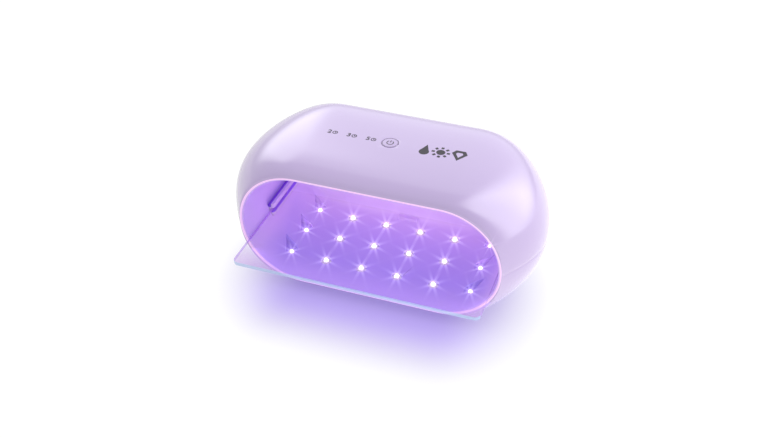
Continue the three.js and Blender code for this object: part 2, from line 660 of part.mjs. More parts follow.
// Round the left end of the liner, from the control board down to the lower LED board: [x, height below the
// chamber's middle], used once above the middle and once below it.
const SIDE_LEAD_QUARTER = [
  [-51.65, 48], [-62, 47.9], [-71, 47.2], [-77, 45.6], [-83, 42], [-92, 35.5], [-101, 22],
];

function sideLeadPoints() {
  const rise = (LEAD_TOP_Z - CENTRE_Z) / SIDE_LEAD_QUARTER[0][1];
  const upper = SIDE_LEAD_QUARTER.map(([x, away]) => [x, SIDE_LEAD_Y, CENTRE_Z + away * rise]);
  const lower = SIDE_LEAD_QUARTER.map(([x, away]) => [x, SIDE_LEAD_Y, CENTRE_Z - away]).reverse();
  return [...upper, [-104, SIDE_LEAD_Y, CENTRE_Z], ...lower];
}

// Up the gap between the liner's back and the case, then forward over the upper LED board.
const BACK_GAP_Y = (LINER_BACK_Y + BACK_Y - CASE_WALL) / 2;
const POWER_LEAD_POINTS = [
  [9.2, 44.8, 10.9], [9.4, 46.6, 11.9], [9.7, 48.1, 15], [10, BACK_GAP_Y, 22], [10, BACK_GAP_Y, 38],
  [10, BACK_GAP_Y, 54], [10, BACK_GAP_Y, 70], [10, BACK_GAP_Y, 86], [9.6, 48.3, 93.5], [8.5, 46.6, 98.2],
  [7, 43.5, 101.4], [5, 39, 102.9], [2, 32, 103.6], [-2, 21, 104.3],
  [POWER_LEAD_END_X, 11.4, LEAD_TOP_Z],
];
const UPPER_LEAD_POINTS = [
  [UPPER_LEAD_X, -11.4, LEAD_TOP_Z], [UPPER_LEAD_X, -14, LEAD_TOP_Z - 0.2],
  [UPPER_LEAD_X, -16.2, 103], [UPPER_LEAD_X, -16.6, 100.7],
];
addPart('power_lead', toGeometry(buildLead(POWER_LEAD_POINTS, POWER_LEAD_RADIUS, 30)), 'lead');
addPart('lower_led_lead', toGeometry(buildLead(sideLeadPoints(), LEAD_RADIUS, 24)), 'lead');
addPart('upper_led_lead', toGeometry(buildLead(UPPER_LEAD_POINTS, LEAD_RADIUS, 8)), 'lead');

// ---- Feet and screws -------------------------------------------------------------------------------------

// A pan-head screw standing on its head, its length including the head.
function addScrew(name, { headRadius, headHeight, shankRadius, length }) {
  const profile = [
    [0, 0], [headRadius, 0], [headRadius, headHeight],
    [shankRadius, headHeight], [shankRadius, length], [0, length],
  ];
  return addPart(name, toGeometry(toSolid(lathe(profile, SMALL_FACETS))), 'steel');
}

for (const [name, [x, y]] of Object.entries(FOOT_SPOTS)) {
  const { radius, topZ, edge } = FOOT;
  const foot = lathe([[0, 0], [radius - edge, 0], [radius, edge], [radius, topZ], [0, topZ]], FOOT_FACETS);
  addPart(`foot_${name}`, toGeometry(toSolid(foot)), 'rubber').position.set(x, y, 0);
}

for (const [side, sign] of [['left', -1], ['right', 1]]) {
  for (const [end, y] of Object.entries(POST_YS)) {
    const screw = addScrew(`housing_screw_${end}_${side}`, HOUSING_SCREW);
    screw.position.set(sign * POST.x, y, POST.ledgeZ - HOUSING_SCREW.headHeight);
  }
  for (const [end, y] of Object.entries(RAIL_SCREW_YS)) {
    const screw = addScrew(`rail_screw_${end}_${side}`, { ...SMALL_SCREW, length: RAIL_SCREW.length });
    const headX = RAIL_SEAT.faceX + RAIL_SEAT.wall + SCREW_GAP + SMALL_SCREW.headHeight;
    screw.rotation.y = -sign * Math.PI / 2;
    screw.position.set(sign * headX, y, RAIL_SCREW_Z);
  }
}

const boardScrew = { ...SMALL_SCREW, length: SMALL_SCREW.headHeight + BOARD_THICKNESS + BOARD_SCREW_DEPTH };
for (const [x, y] of BOARD_SCREW_SPOTS) {
  const place = `${y < 0 ? 'front' : 'rear'}_${x < 0 ? 'left' : 'right'}`;
  const lower = addScrew(`lower_board_screw_${place}`, boardScrew);
  lower.position.set(x, y, BOARD_BOTTOM_Z - SMALL_SCREW.headHeight);
  const upper = addScrew(`upper_board_screw_${place}`, boardScrew);
  upper.rotation.x = Math.PI;
  upper.position.set(x, y, 2 * CENTRE_Z - BOARD_BOTTOM_Z + SMALL_SCREW.headHeight + SCREW_GAP);
}

for (const [place, [x, y]] of Object.entries(CONTROL_SCREW_SPOTS)) {
  const screw = addScrew(`control_screw_${place}`, CONTROL_SCREW);
  screw.position.set(x, y, CONTROL_BOARD.bottomZ - CONTROL_SCREW.headHeight);
}

export default lamp;
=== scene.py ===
"""Looks for the UV curing lamp: fine shells, chamber, tray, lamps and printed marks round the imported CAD."""
import math

import bmesh
import bpy
from mathutils import Matrix, Vector


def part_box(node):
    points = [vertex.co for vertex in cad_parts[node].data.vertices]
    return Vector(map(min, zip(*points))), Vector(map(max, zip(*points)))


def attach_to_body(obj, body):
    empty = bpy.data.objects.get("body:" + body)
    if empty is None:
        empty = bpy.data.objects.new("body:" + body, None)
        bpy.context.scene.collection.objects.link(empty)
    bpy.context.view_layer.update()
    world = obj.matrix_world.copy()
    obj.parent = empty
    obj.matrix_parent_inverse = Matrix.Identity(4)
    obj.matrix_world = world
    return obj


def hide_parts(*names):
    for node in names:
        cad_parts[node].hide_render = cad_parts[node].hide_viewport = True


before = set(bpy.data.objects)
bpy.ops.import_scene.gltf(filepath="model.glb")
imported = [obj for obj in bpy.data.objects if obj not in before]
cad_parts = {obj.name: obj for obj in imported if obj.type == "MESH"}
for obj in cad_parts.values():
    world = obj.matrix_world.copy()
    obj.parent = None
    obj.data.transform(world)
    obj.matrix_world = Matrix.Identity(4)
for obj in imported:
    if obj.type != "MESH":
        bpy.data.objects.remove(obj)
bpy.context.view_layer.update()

MM = 0.001

# ---- Dimensions, in millimetres, in the lamp's own frame: y = 0 is at the case's highest section ----

STRAIGHT_HALF = 51.65
CENTRE_Z = 54.5
FRONT_Y = -51.0
PEAK_Y = -0.3
BACK_Y = 52.0
MOUTH_RADIUS = 45.0
END_BULGE = 20.35
TOP_BULGE = 9.9
BOTTOM_BULGE = 7.5
FADE = {"front_end": (2.0, 1.06), "back_end": (2.0, 0.855),
        "front_face": (2.07, 0.483), "back_face": (2.26, 0.4425)}
BACK_FILLET = 3.0
END_POWER = 2.16
LOWER_BACK_FULLNESS = 1.5
CASE_WALL = 2.2

CHAMBER_RADIUS = 42.7
LINER_RADIUS = 44.7
CHAMBER_BACK_Y = 46.4
LINER_BACK_Y = 47.9
CHAMBER_FILLET = 8.0
LINER_FILLET = 9.5
FLOOR_Z = CENTRE_Z - CHAMBER_RADIUS
RIM_BEAD = {"inner": 43.5, "outer": 45.2}
LAMP_SPOTS = [(x, y) for y in (-25.2, 2.8, 30.8) for x in (-70.0, -42.0, -14.0, 14.0, 42.0, 70.0)]
LAMP_WINDOW_RADIUS = 3.9
POCKET_PLAN = [(66.0, -4.6), (70.0, -6.2), (73.4, -4.6), (74.2, -0.8), (78.2, 9.2), (68.4, 6.2), (65.6, 3.0)]
POCKET_WALL = 1.1
POCKET_RISE = 0.8
POCKET_HEIGHT = 12.0
RAIL_SEAT = {"inner": 80.0, "outer": 94.4, "wall": 2.0, "y0": -14.3, "y1": 37.3, "z0": 33.7, "z1": 55.8}
RAIL_LIP = {"back": 90.2, "step": 41.7}
GROOVE_FLOOR_Z = 36.9
SOCKET_COVER = {"half": 8.0, "y0": 41.2, "top": 14.8, "wall": 1.4}
SOCKET_SLOT = {"half": 4.8, "z0": 9.8, "z1": 13.6}

LED_BOARD = {"top": 9.7, "thickness": 1.0, "half": 73.2, "front": -31.0, "back": 37.0, "corner": 4.5}
BOARD_SCREWS = [(-56.0, -11.2), (56.0, -11.2), (-56.0, 16.8), (56.0, 16.8)]
BOARD_SCREW_RADIUS = 1.35
# A lamp's square body, the collar on it and the dome on top. The end lamps' domes stand taller.
LAMP = {"half": 1.9, "body": 1.5, "collar": 2.1, "height": 2.0, "dome": 1.35, "rise": 1.7, "end_rise": 2.5}

FOOT_RECESS = {"x": (-48, 48), "y": (-24, 28), "radius": 7.3, "top": 3.2}
SCREW_WELL = {"x": (-103, 103), "y": (-24, 26), "radius": 3.1, "top": 40}
BUTTON = {"hole": 6.3, "radius": 6.0, "round": 0.25, "flange": 7.2, "low": 105.6, "high": 106.7}
TRAY_CORNER = {"front": 4.5, "back": 8.0}

# The printed marks: each timer mark's name, numeral and x, then the drop, the sun and the gem in a row.
TIMER_MARKS = [("two", "2", -43.5), ("three", "3", -29.0), ("five", "5", -14.5)]
TIMER_MARK = {"y": 0.3, "size": 6.0, "numeral": -2.1, "clock": 2.0, "radius": 2.0}
DROP = {"x": 25.6, "y": -0.6, "radius": 3.6, "low": -2.2, "tip": 7.2}
SUN = {"x": 37.0, "radius": 3.2, "ray_from": 4.3, "ray_to": 6.6, "ray_width": 2.0, "rays": 8}
GEM = {"x": 50.0, "y": 0.2}
GEM_OUTLINE = [(0, -6.6), (5.6, 2.0), (3.4, 6.0), (-3.4, 6.0), (-5.6, 2.0)]
GEM_HOLE = [(0, -2.9), (2.6, 1.7), (1.8, 3.4), (-1.8, 3.4), (-2.6, 1.7)]
POWER = {"radius": 2.3, "stroke": 0.7, "foot": 0.4, "top": 2.9, "ring_inner": 5.42, "ring_outer": 5.74}

case_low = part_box("lower_housing")[0]
SHIFT_Y = case_low.y - FRONT_Y * MM


def row(x, y, z):
    """A point of the lamp's own frame, in mm, as a point of the row frame, in metres."""
    return Vector((x * MM, y * MM + SHIFT_Y, z * MM))


# ---- Materials ----

def srgb(r, g, b):
    """An sRGB colour, 0 to 255, as linear light."""
    out = []
    for c in (r, g, b):
        c /= 255.0
        out.append(c / 12.92 if c <= 0.04045 else ((c + 0.055) / 1.055) ** 2.4)
    return (*out, 1.0)


class Graph:
    """Short ways to add nodes to a tree."""

    def __init__(self, tree):
        self.tree = tree
        self.shader = tree.nodes.get("Principled BSDF")

    def put(self, socket, value):
        if isinstance(value, (int, float, tuple)):
            socket.default_value = value
        else:
            self.tree.links.new(value, socket)

    def add(self, kind, inputs=(), **settings):
        """A new node of a kind, with its settings, and with values or links for some of its inputs."""
        node = self.tree.nodes.new("ShaderNode" + kind)
        for name, value in settings.items():
            setattr(node, name, value)
        for socket, value in dict(inputs).items():
            self.put(node.inputs[socket], value)
        return node

    def math(self, operation, a, b=0.0):
        return self.add("Math", {0: a, 1: b}, operation=operation).outputs[0]

    def plus(self, a, b):
        return self.math("ADD", a, b)

    def minus(self, a, b):
        return self.math("SUBTRACT", a, b)

    def times(self, a, b):
        return self.math("MULTIPLY", a, b)

    def blend(self, share, a, b):
        """Colour a where share is 0 and colour b where it is 1."""
        return self.add("Mix", {"Factor": share, "A": a, "B": b}, data_type="RGBA").outputs["Result"]

    def remap(self, value, low, high, at_low=0.0, at_high=1.0, kind="LINEAR"):
        """Goes from at_low to at_high while the value goes from low to high, and stays level outside."""
        ranges = {"Value": value, "From Min": low, "From Max": high, "To Min": at_low, "To Max": at_high}
        return self.add("MapRange", ranges, interpolation_type=kind).outputs["Result"]

    def step(self, value, low, high):
        """0 below low, 1 above high, smooth between. Falls instead when high is below low."""
        ends = (0.0, 1.0) if high > low else (1.0, 0.0)
        return self.remap(value, min(low, high), max(low, high), *ends, "SMOOTHSTEP")

    def split(self, output):
        """The x, y and z of one of the texture coordinates."""
        place = self.add("TexCoord").outputs[output]
        return self.add("SeparateXYZ", {0: place}).outputs


def material(name, colour, roughness, second=None, metallic=0.0, grain=900.0, bump=0.06, cloud=25.0, coat=0.0,
             alpha=1.0, emission=None, strength=0.0, ior=1.5, spread=0.06):
    """A single Principled surface whose colour, roughness and relief vary with procedural noise."""
    mat = bpy.data.materials.new(name)
    mat.use_nodes = True
    graph = Graph(mat.node_tree)
    place = graph.add("TexCoord").outputs["Object"]
    clouds, fine = (graph.add("TexNoise", {"Vector": place, "Scale": scale, "Detail": detail}).outputs["Fac"]
                    for scale, detail in ((cloud, 3.0), (grain, 4.0)))
    second = second or tuple(c * 0.94 for c in colour[:3]) + (1.0,)
    relief = graph.add("Bump", {"Height": fine, "Strength": bump, "Distance": 0.0001})
    looks = {
        "Base Color": graph.blend(clouds, colour, second),
        "Roughness": graph.remap(fine, 0.0, 1.0, max(0.0, roughness - spread), min(1.0, roughness + spread)),
        "Normal": relief.outputs["Normal"], "Metallic": metallic, "IOR": ior, "Coat Weight": coat,
        "Coat Roughness": 0.04, "Alpha": alpha,
    }
    if emission:
        looks.update({"Emission Color": emission, "Emission Strength": strength})
    for socket, value in looks.items():
        graph.put(graph.shader.inputs[socket], value)
    return mat


LAVENDER = (0.55, 0.43, 0.71, 1)
CASE = material("case_plastic", LAVENDER, 0.2, second=(0.535, 0.415, 0.695, 1), grain=2200, bump=0.012,
                cloud=14, coat=0.9, spread=0.03)
# Painted light: the liner's faint violet glow stands in for the lamps' light bouncing round the chamber, and
# lifts the shade in its recesses.
LINER = material("liner_plastic", srgb(208, 192, 236), 0.4, second=srgb(202, 184, 234), grain=1600,
                 bump=0.02, cloud=30, spread=0.05, emission=(0.38, 0.18, 0.5, 1), strength=0.16)
# Painted light: the rim bead's faint pink glow stands in for the chamber's light showing through it.
RIM = material("rim_plastic", srgb(240, 214, 244), 0.28, second=srgb(236, 206, 242), grain=1600, bump=0.01,
               cloud=40, emission=srgb(255, 178, 246), strength=0.22)
RAIL = material("rail_plastic", srgb(214, 198, 236), 0.38, grain=1800, bump=0.03, cloud=40)
# Painted shade: the sunk step behind each rail's lip is a deep violet that stands in for the shade in that
# recess.
RAIL_SHADE = material("rail_step_painted_shade", srgb(150, 98, 232), 0.5, grain=1800, bump=0.03, cloud=40)
# Painted light: the floor of each rail's groove is a deep violet that glows, standing in for the chamber's
# light gathering in the groove.
GROOVE_PAINTED_GLOW = material("rail_groove_painted_glow", srgb(150, 100, 232), 0.4, grain=1800, bump=0.03, cloud=40,
                        emission=(0.3, 0.12, 0.9, 1), strength=0.2)
# Painted light on the clear sheet: its pinkish violet colour and faint pink glow stand in for the lamps' light
# caught in the acrylic.
CLEAR = material("clear_acrylic", srgb(206, 170, 232), 0.06, second=srgb(200, 166, 232), grain=600,
                 bump=0.004, cloud=12, spread=0.02, ior=1.15, emission=(1, 0.7, 0.8, 1), strength=0.1)
# Painted light: the sheet's front edge is a light blue that glows faintly, standing in for light carried along
# the acrylic to its edge.
CLEAR_EDGE = material("acrylic_edge_painted_glow", srgb(178, 208, 236), 0.12, second=srgb(192, 218, 242), grain=900,
                      bump=0.01, cloud=60, alpha=0.68, emission=srgb(150, 190, 255), strength=0.06,
                      spread=0.04)
# Painted light: the sheet's side edges are violet, standing in for the chamber's light carried along the
# acrylic.
CLEAR_SIDE = material("acrylic_side_painted_light", srgb(170, 110, 235), 0.12, second=srgb(180, 124, 240), grain=900,
                      bump=0.01, cloud=60, alpha=0.5, spread=0.04)
BUTTON_CAP = material("button_plastic", LAVENDER, 0.24, grain=2000, bump=0.015, cloud=60, coat=0.6,
                      spread=0.03)
PRINT = material("printed_mark", srgb(50, 45, 54), 0.55, second=srgb(60, 54, 64), grain=3000, bump=0.05,
                 cloud=300)
LAMP_BOARD = material("lamp_board", srgb(236, 236, 232), 0.42, grain=2500, bump=0.04, cloud=90)
LAMP_BODY = material("lamp_package", srgb(240, 236, 220), 0.3, grain=4000, bump=0.03, cloud=500)
LAMP_DOME = material("lamp_dome", srgb(250, 245, 255), 0.12, grain=3000, bump=0.01, cloud=400,
                     emission=(0.93, 0.84, 1, 1), strength=9.0)
CIRCUIT = material("circuit_board", srgb(38, 104, 62), 0.36, second=srgb(28, 88, 50), grain=2600, bump=0.08,
                   cloud=260)
BLACK = material("dark_plastic", srgb(42, 42, 46), 0.48, second=srgb(32, 32, 36), grain=1800, bump=0.1,
                 cloud=120)
SOCKET_METAL = material("socket_metal", srgb(196, 196, 200), 0.32, metallic=1.0, grain=2400, bump=0.04,
                        cloud=200)
SCREW_STEEL = material("screw_steel", srgb(182, 184, 190), 0.3, metallic=1.0, grain=3000, bump=0.06,
                       cloud=400)
RUBBER = material("foot_rubber", srgb(176, 164, 196), 0.82, second=srgb(160, 148, 182), grain=1400,
                  bump=0.25, cloud=80)
LEAD = material("lead_insulation", srgb(176, 40, 46), 0.42, second=srgb(150, 30, 36), grain=2200, bump=0.05,
                cloud=150)


def ramp(graph, axis, low, high, *ends):
    """0 to 1, or from one end value to the other, between two heights or depths in mm."""
    offset = SHIFT_Y if axis == "Y" else 0.0
    return graph.remap(graph.split("Object")[axis], low * MM + offset, high * MM + offset, *ends)


def paint_light_tint(mat, depth, height, tint):
    """Paints light into a colour: a deeper, bluer tint towards the front and the bottom, where it stands in
    for the lamps' light, over a pair of depths and of heights.
    """
    graph = Graph(mat.node_tree)
    either = graph.math("MAXIMUM", ramp(graph, "Y", *depth), ramp(graph, "Z", *height))
    base = graph.shader.inputs["Base Color"]
    graph.put(base, graph.blend(either, tint, base.links[0].from_socket))


def paint_sheet_light(mat, near, far):
    """Makes the clear sheet's painted light show more towards its front, by raising its alpha there: two
    (depth in mm, alpha) pairs.
    """
    graph = Graph(mat.node_tree)
    graph.put(graph.shader.inputs["Alpha"], ramp(graph, "Y", near[0], far[0], near[1], far[1]))


# Painted light on the liner: its floor takes a deeper, bluer violet, strongest towards the mouth, that stands
# in for the lamps' light there.
paint_light_tint(LINER, (-54.0, 34.0), (13.0, 30.0), srgb(150, 142, 226))
# Painted light: the clear sheet's pinkish violet shows most towards its front.
paint_sheet_light(CLEAR, (-80.0, 0.36), (-52.0, 0.05))


# ---- Mesh helpers ----

def sharpen(mesh, angle=35.0):
    """Smooth shading, kept crisp at edges sharper than this angle."""
    bm = bmesh.new()
    bm.from_mesh(mesh)
    bmesh.ops.recalc_face_normals(bm, faces=bm.faces)
    for face in bm.faces:
        face.smooth = True
    for edge in bm.edges:
        edge.smooth = len(edge.link_faces) == 2 and edge.calc_face_angle(0.0) < math.radians(angle)
    bm.to_mesh(mesh)
    bm.free()


def weld(mesh, gap):
    """Merges points closer than the gap, in metres, and turns the faces outwards."""
    bm = bmesh.new()
    bm.from_mesh(mesh)
    bmesh.ops.remove_doubles(bm, verts=bm.verts, dist=gap)
    bmesh.ops.recalc_face_normals(bm, faces=bm.faces)
    bm.to_mesh(mesh)
    bm.free()


def attach(obj, body, node=None):
    """Lets the object ride on a CAD body, and stand for a CAD node."""
    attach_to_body(obj, body)
    if node:
        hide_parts(node)


def new_object(name, mesh):
    obj = bpy.data.objects.new(name, mesh)
    bpy.context.scene.collection.objects.link(obj)
    return obj


def piece(name, points, faces, *mats):
    """A new object from points in the lamp's own frame, in mm."""
    mesh = bpy.data.meshes.new(name)
    mesh.from_pydata([row(*p) for p in points], [], faces)
    weld(mesh, 2e-6)
    for mat in mats:
        mesh.materials.append(mat)
    return new_object(name, mesh)


def settle(obj):
    """Replaces the object's mesh by its evaluated one and drops its modifiers."""
    bpy.context.view_layer.update()
    graph = bpy.context.evaluated_depsgraph_get()
    mesh = bpy.data.meshes.new_from_object(obj.evaluated_get(graph), depsgraph=graph)
    obj.modifiers.clear()
    obj.data = mesh
    return obj


def combine(obj, other, operation, spend=True):
    """Joins the other object to this one, or cuts with it, and removes the other if it is spent."""
    modifier = obj.modifiers.new("combine", "BOOLEAN")
    modifier.solver = "EXACT"
    modifier.operation = operation
    modifier.object = other
    settle(obj)
    if spend:
        bpy.data.objects.remove(other)
    return obj


def round_edges(obj, width, segments=2, angle=35.0):
    """Bevels the edges sharper than the angle, by a width in mm."""
    modifier = obj.modifiers.new("round", "BEVEL")
    modifier.width = width * MM
    modifier.segments = segments
    modifier.limit_method = "ANGLE"
    modifier.angle_limit = math.radians(angle)
    modifier.use_clamp_overlap = True
    modifier.harden_normals = False
    return settle(obj)


def box_shape(xs, ys, zs):
    """A box between two x, two y and two z."""
    x0, x1 = min(xs), max(xs)
    points = [(x, y, z) for z in (zs[0], zs[1]) for y in (ys[0], ys[1]) for x in (x0, x1)]
    faces = [(0, 2, 3, 1), (4, 5, 7, 6), (0, 1, 5, 4), (2, 6, 7, 3), (0, 4, 6, 2), (1, 3, 7, 5)]
    return points, faces


def upright_shape(outline, z0, z1):
    """A prism standing on a plan outline."""
    count = len(outline)
    points = [(x, y, z0) for x, y in outline] + [(x, y, z1) for x, y in outline]
    faces = [tuple(range(count - 1, -1, -1)), tuple(range(count, 2 * count))]
    faces += [(i, (i + 1) % count, count + (i + 1) % count, count + i) for i in range(count)]
    return points, faces


def turned_shape(profile, centre, facets=48):
    """A solid of revolution about a vertical line, from (radius, height) pairs that start and end on it."""
    points, faces = [], []
    for radius, z in profile:
        for i in range(facets):
            angle = 2 * math.pi * i / facets
            points.append((centre[0] + radius * math.cos(angle), centre[1] + radius * math.sin(angle), z))
    for k in range(len(profile) - 1):
        for i in range(facets):
            j = (i + 1) % facets
            faces.append((k * facets + i, k * facets + j, (k + 1) * facets + j, (k + 1) * facets + i))
    return points, faces


def joined(shapes):
    """Several shapes as one list of points and faces."""
    points, faces = [], []
    for shape_points, shape_faces in shapes:
        base = len(points)
        points += shape_points
        faces += [tuple(base + i for i in face) for face in shape_faces]
    return points, faces


def cylinder_shape(x, y, z0, z1, radius, facets=40):
    return turned_shape([(0.0, z0), (radius, z0), (radius, z1), (0.0, z1)], (x, y), facets)


def cutter(*shapes):
    """A nameless solid to combine with another."""
    return piece("cutter", *joined(shapes), CASE)


def both_levels(z0, z1):
    """A height range measured up from the floor side, and the same range turned over for the roof side."""
    return [(z0, z1), (2 * CENTRE_Z - z1, 2 * CENTRE_Z - z0)]


# ---- The case's form ----

def bulge(share, fade):
    """How much of a bulge is left at a share of the way from the highest section to an end."""
    power, root = FADE[fade]
    return max(0.0, 1.0 - share ** power) ** root


def case_reach(y, inset, upper):
    """How far the section at depth y reaches outwards at the ends and up or down, and its corner power."""
    front = y < PEAK_Y
    length = (PEAK_Y - FRONT_Y if front else BACK_Y - PEAK_Y) - inset
    share = min(1.0, abs(y - PEAK_Y) / length)
    fillet = max(0.0, BACK_FILLET - inset)
    past = max(0.0, y - (BACK_Y - inset - fillet))
    drop = fillet - math.sqrt(max(0.0, fillet * fillet - past * past))
    edge = MOUTH_RADIUS - inset - drop
    reach = edge + END_BULGE * bulge(share, "front_end" if front else "back_end")
    face = TOP_BULGE if upper else BOTTOM_BULGE
    rise = edge + face * bulge(share, "front_face" if front else "back_face")
    return reach, rise, END_POWER + (0.0 if upper or front else LOWER_BACK_FULLNESS * share)


def half_ring(upper, reach, rise, power, ends=36, straights=14):
    """The upper or lower half of a stadium section, from the left seam to the right seam, as (x, z) pairs."""
    sign = 1 if upper else -1
    quarter = []
    for i in range(ends + 1):
        angle = math.pi / 2 * i / ends
        quarter.append((reach * math.cos(angle) ** (2 / power), rise * math.sin(angle) ** (2 / power)))
    ring = [(-STRAIGHT_HALF - across, CENTRE_Z + sign * up) for across, up in quarter]
    for i in range(1, straights):
        ring.append((-STRAIGHT_HALF + 2 * STRAIGHT_HALF * i / straights, CENTRE_Z + sign * rise))
    ring += [(STRAIGHT_HALF + across, CENTRE_Z + sign * up) for across, up in reversed(quarter)]
    return ring


def case_depths(inset, bands=30):
    """The depths of the case's rings, closer together towards the front and the back."""
    front = PEAK_Y - FRONT_Y - inset
    back = BACK_Y - PEAK_Y - inset
    depths = [PEAK_Y - front * math.sin(math.pi / 2 * (1 - i / bands)) for i in range(bands)]
    return depths + [PEAK_Y + back * math.sin(math.pi / 2 * i / bands) for i in range(bands + 1)]


def half_shell(upper):
    """One half of the case: outer skin, mouth, inner skin and the back wall, in one loop that is left open
    along the seam.
    """
    shares = (0.93, 0.8, 0.55, 0.3, 0.12, 0.0)
    rings = [(y, half_ring(upper, *case_reach(y, 0.0, upper))) for y in case_depths(0.0)]
    for back, inset, order in ((BACK_Y, 0.0, shares), (BACK_Y - CASE_WALL, CASE_WALL, reversed(shares))):
        reach, rise, power = case_reach(back, inset, upper)
        rings += [(back, half_ring(upper, reach * share, rise * share, power)) for share in order]
    for y in reversed(case_depths(CASE_WALL)):
        reach, rise, power = case_reach(y, CASE_WALL, upper)
        rings.append((y, half_ring(upper, max(reach, MOUTH_RADIUS), max(rise, MOUTH_RADIUS), power)))
    mouth = half_ring(upper, MOUTH_RADIUS, MOUTH_RADIUS, 2.0)
    rings += [(FRONT_Y + CASE_WALL, mouth), (FRONT_Y + 0.6, mouth), (FRONT_Y, mouth)]
    points = [(x, y, z) for y, ring in rings for x, z in ring]
    width = len(rings[0][1])
    faces = []
    for k in range(len(rings)):
        a, b = k * width, (k + 1) % len(rings) * width
        faces += [(a + i, a + i + 1, b + i + 1, b + i) for i in range(width - 1)]
    return points, faces


def close_seams(obj):
    """Fills the open edges along the seam, so that the half is a closed solid."""
    bm = bmesh.new()
    bm.from_mesh(obj.data)
    edges = [edge for edge in bm.edges if edge.is_boundary]
    bmesh.ops.holes_fill(bm, edges=edges)
    bmesh.ops.triangulate(bm, faces=[face for face in bm.faces if len(face.verts) > 4])
    bmesh.ops.recalc_face_normals(bm, faces=bm.faces)
    bm.to_mesh(obj.data)
    bm.free()


# ---- Chamber liner ----

def full_ring(radius, ends=28, straights=12):
    """A whole stadium section, as (x, z) pairs."""
    upper = half_ring(True, radius, radius, 2.0, ends, straights)
    lower = half_ring(False, radius, radius, 2.0, ends, straights)
    return upper + lower[-2:0:-1]


def skin(stations, close=True):
    """Lofts full rings through (y, radius) stations, where radius 0 is the stadium's middle line."""
    rings = [[(x, y, z) for x, z in full_ring(radius)] for y, radius in stations]
    width = len(rings[0])
    points = [p for ring in rings for p in ring]
    faces = []
    for k in range(len(rings) - (0 if close else 1)):
        a, b = k * width, (k + 1) % len(rings) * width
        faces += [(a + i, a + (i + 1) % width, b + (i + 1) % width, b + i) for i in range(width)]
    return points, faces


def tub_stations(front_y, radius, back_y, fillet, steps=8):
    """A closed tub with a flat front, a rounded rear corner and a flat back, as (depth, radius) stations."""
    out = [(front_y, 0.0), (front_y, radius), (-30.0, radius), (0.0, radius)]
    for i in range(steps + 1):
        angle = math.pi / 2 * i / steps
        out.append((back_y - fillet + fillet * math.sin(angle), radius - fillet + fillet * math.cos(angle)))
    for share in (0.8, 0.55, 0.3, 0.12, 0.0):
        out.append((back_y, (radius - fillet) * share))
    return out


def build_liner():
    """The moulded tub with the walls of its recesses, then the chamber and everything cut into it."""
    outer = tub_stations(FRONT_Y + 0.9, LINER_RADIUS, LINER_BACK_Y, LINER_FILLET)
    liner = piece("chamber_liner_skin", *skin(outer, False), LINER)
    room = piece("room", *skin(case_room(), False), CASE)
    for shape in pocket_walls() + seat_blocks(RAIL_SEAT["wall"], RAIL_SEAT["outer"] + RAIL_SEAT["wall"]):
        wall = combine(cutter(shape), room, "INTERSECT", spend=False)
        combine(liner, wall, "UNION")
    bpy.data.objects.remove(room)
    chamber = tub_stations(FRONT_Y - 6.0, CHAMBER_RADIUS, CHAMBER_BACK_Y, CHAMBER_FILLET)
    combine(liner, cutter(skin(chamber, False)), "DIFFERENCE")
    half, front, top, wall = (SOCKET_COVER[key] for key in ("half", "y0", "top", "wall"))
    cover = box_shape((-half, half), (front, CHAMBER_BACK_Y + 1), (FLOOR_Z - 1, top))
    combine(liner, cutter(cover), "UNION")
    hollows = pocket_hollows() + seat_blocks(0.0, RAIL_SEAT["outer"]) + window_cutters() + board_screw_holes()
    hollows.append(box_shape((wall - half, half - wall), (front + wall, BACK_Y), (0.0, top - wall)))
    combine(liner, cutter(*hollows), "DIFFERENCE")
    round_edges(liner, 0.25, 2)
    sharpen(liner.data)
    attach(liner, "housing", "chamber_liner")


def end_lamps():
    """The lamps in the chamber's round ends, each with its side: -1 left, 1 right."""
    return [(x, y, math.copysign(1.0, x)) for x, y in LAMP_SPOTS if abs(x) > STRAIGHT_HALF]


def pocket_walls():
    """Blocks round the pockets beside the end lamps, at the floor and the roof."""
    xs, ys = ([f(p[i] for p in POCKET_PLAN) for f in (min, max)] for i in range(2))
    shapes = []
    for _, y, side in end_lamps():
        for level in both_levels(FLOOR_Z - 2.0, FLOOR_Z + POCKET_HEIGHT):
            shapes.append(box_shape((side * (xs[0] - POCKET_WALL), side * (xs[1] + POCKET_WALL)),
                                    (y + ys[0] - POCKET_WALL, y + ys[1] + POCKET_WALL), level))
    return shapes


def pocket_hollows():
    """The wedge-shaped pockets themselves."""
    shapes = []
    for _, y, side in end_lamps():
        for z0, z1 in both_levels(FLOOR_Z + POCKET_RISE, FLOOR_Z + POCKET_HEIGHT + 2.0):
            shapes.append(upright_shape([(side * px, y + py) for px, py in POCKET_PLAN], z0, z1))
    return shapes


def seat_blocks(grow, outer):
    """The recesses that the tray's rails sit in, or the blocks round them."""
    seat = RAIL_SEAT
    return [box_shape((side * seat["inner"], side * outer), (seat["y0"] - grow, seat["y1"] + grow),
                      (seat["z0"] - grow, seat["z1"] + grow)) for side in (-1, 1)]


def window_cutters():
    """The lamps' windows, flared at the chamber's face, at the floor and the roof."""
    shapes = []
    levels = [(LAMP_WINDOW_RADIUS, FLOOR_Z - 3.0), (LAMP_WINDOW_RADIUS, FLOOR_Z - 0.5),
              (LAMP_WINDOW_RADIUS + 0.5, FLOOR_Z), (LAMP_WINDOW_RADIUS + 1.5, FLOOR_Z + 1.0)]
    for x, y in LAMP_SPOTS:
        for turned in (False, True):
            profile = [(radius, 2 * CENTRE_Z - z if turned else z) for radius, z in levels]
            profile = [(0.0, profile[0][1])] + profile + [(0.0, profile[-1][1])]
            shapes.append(turned_shape(profile, (x, y), 36))
    return shapes


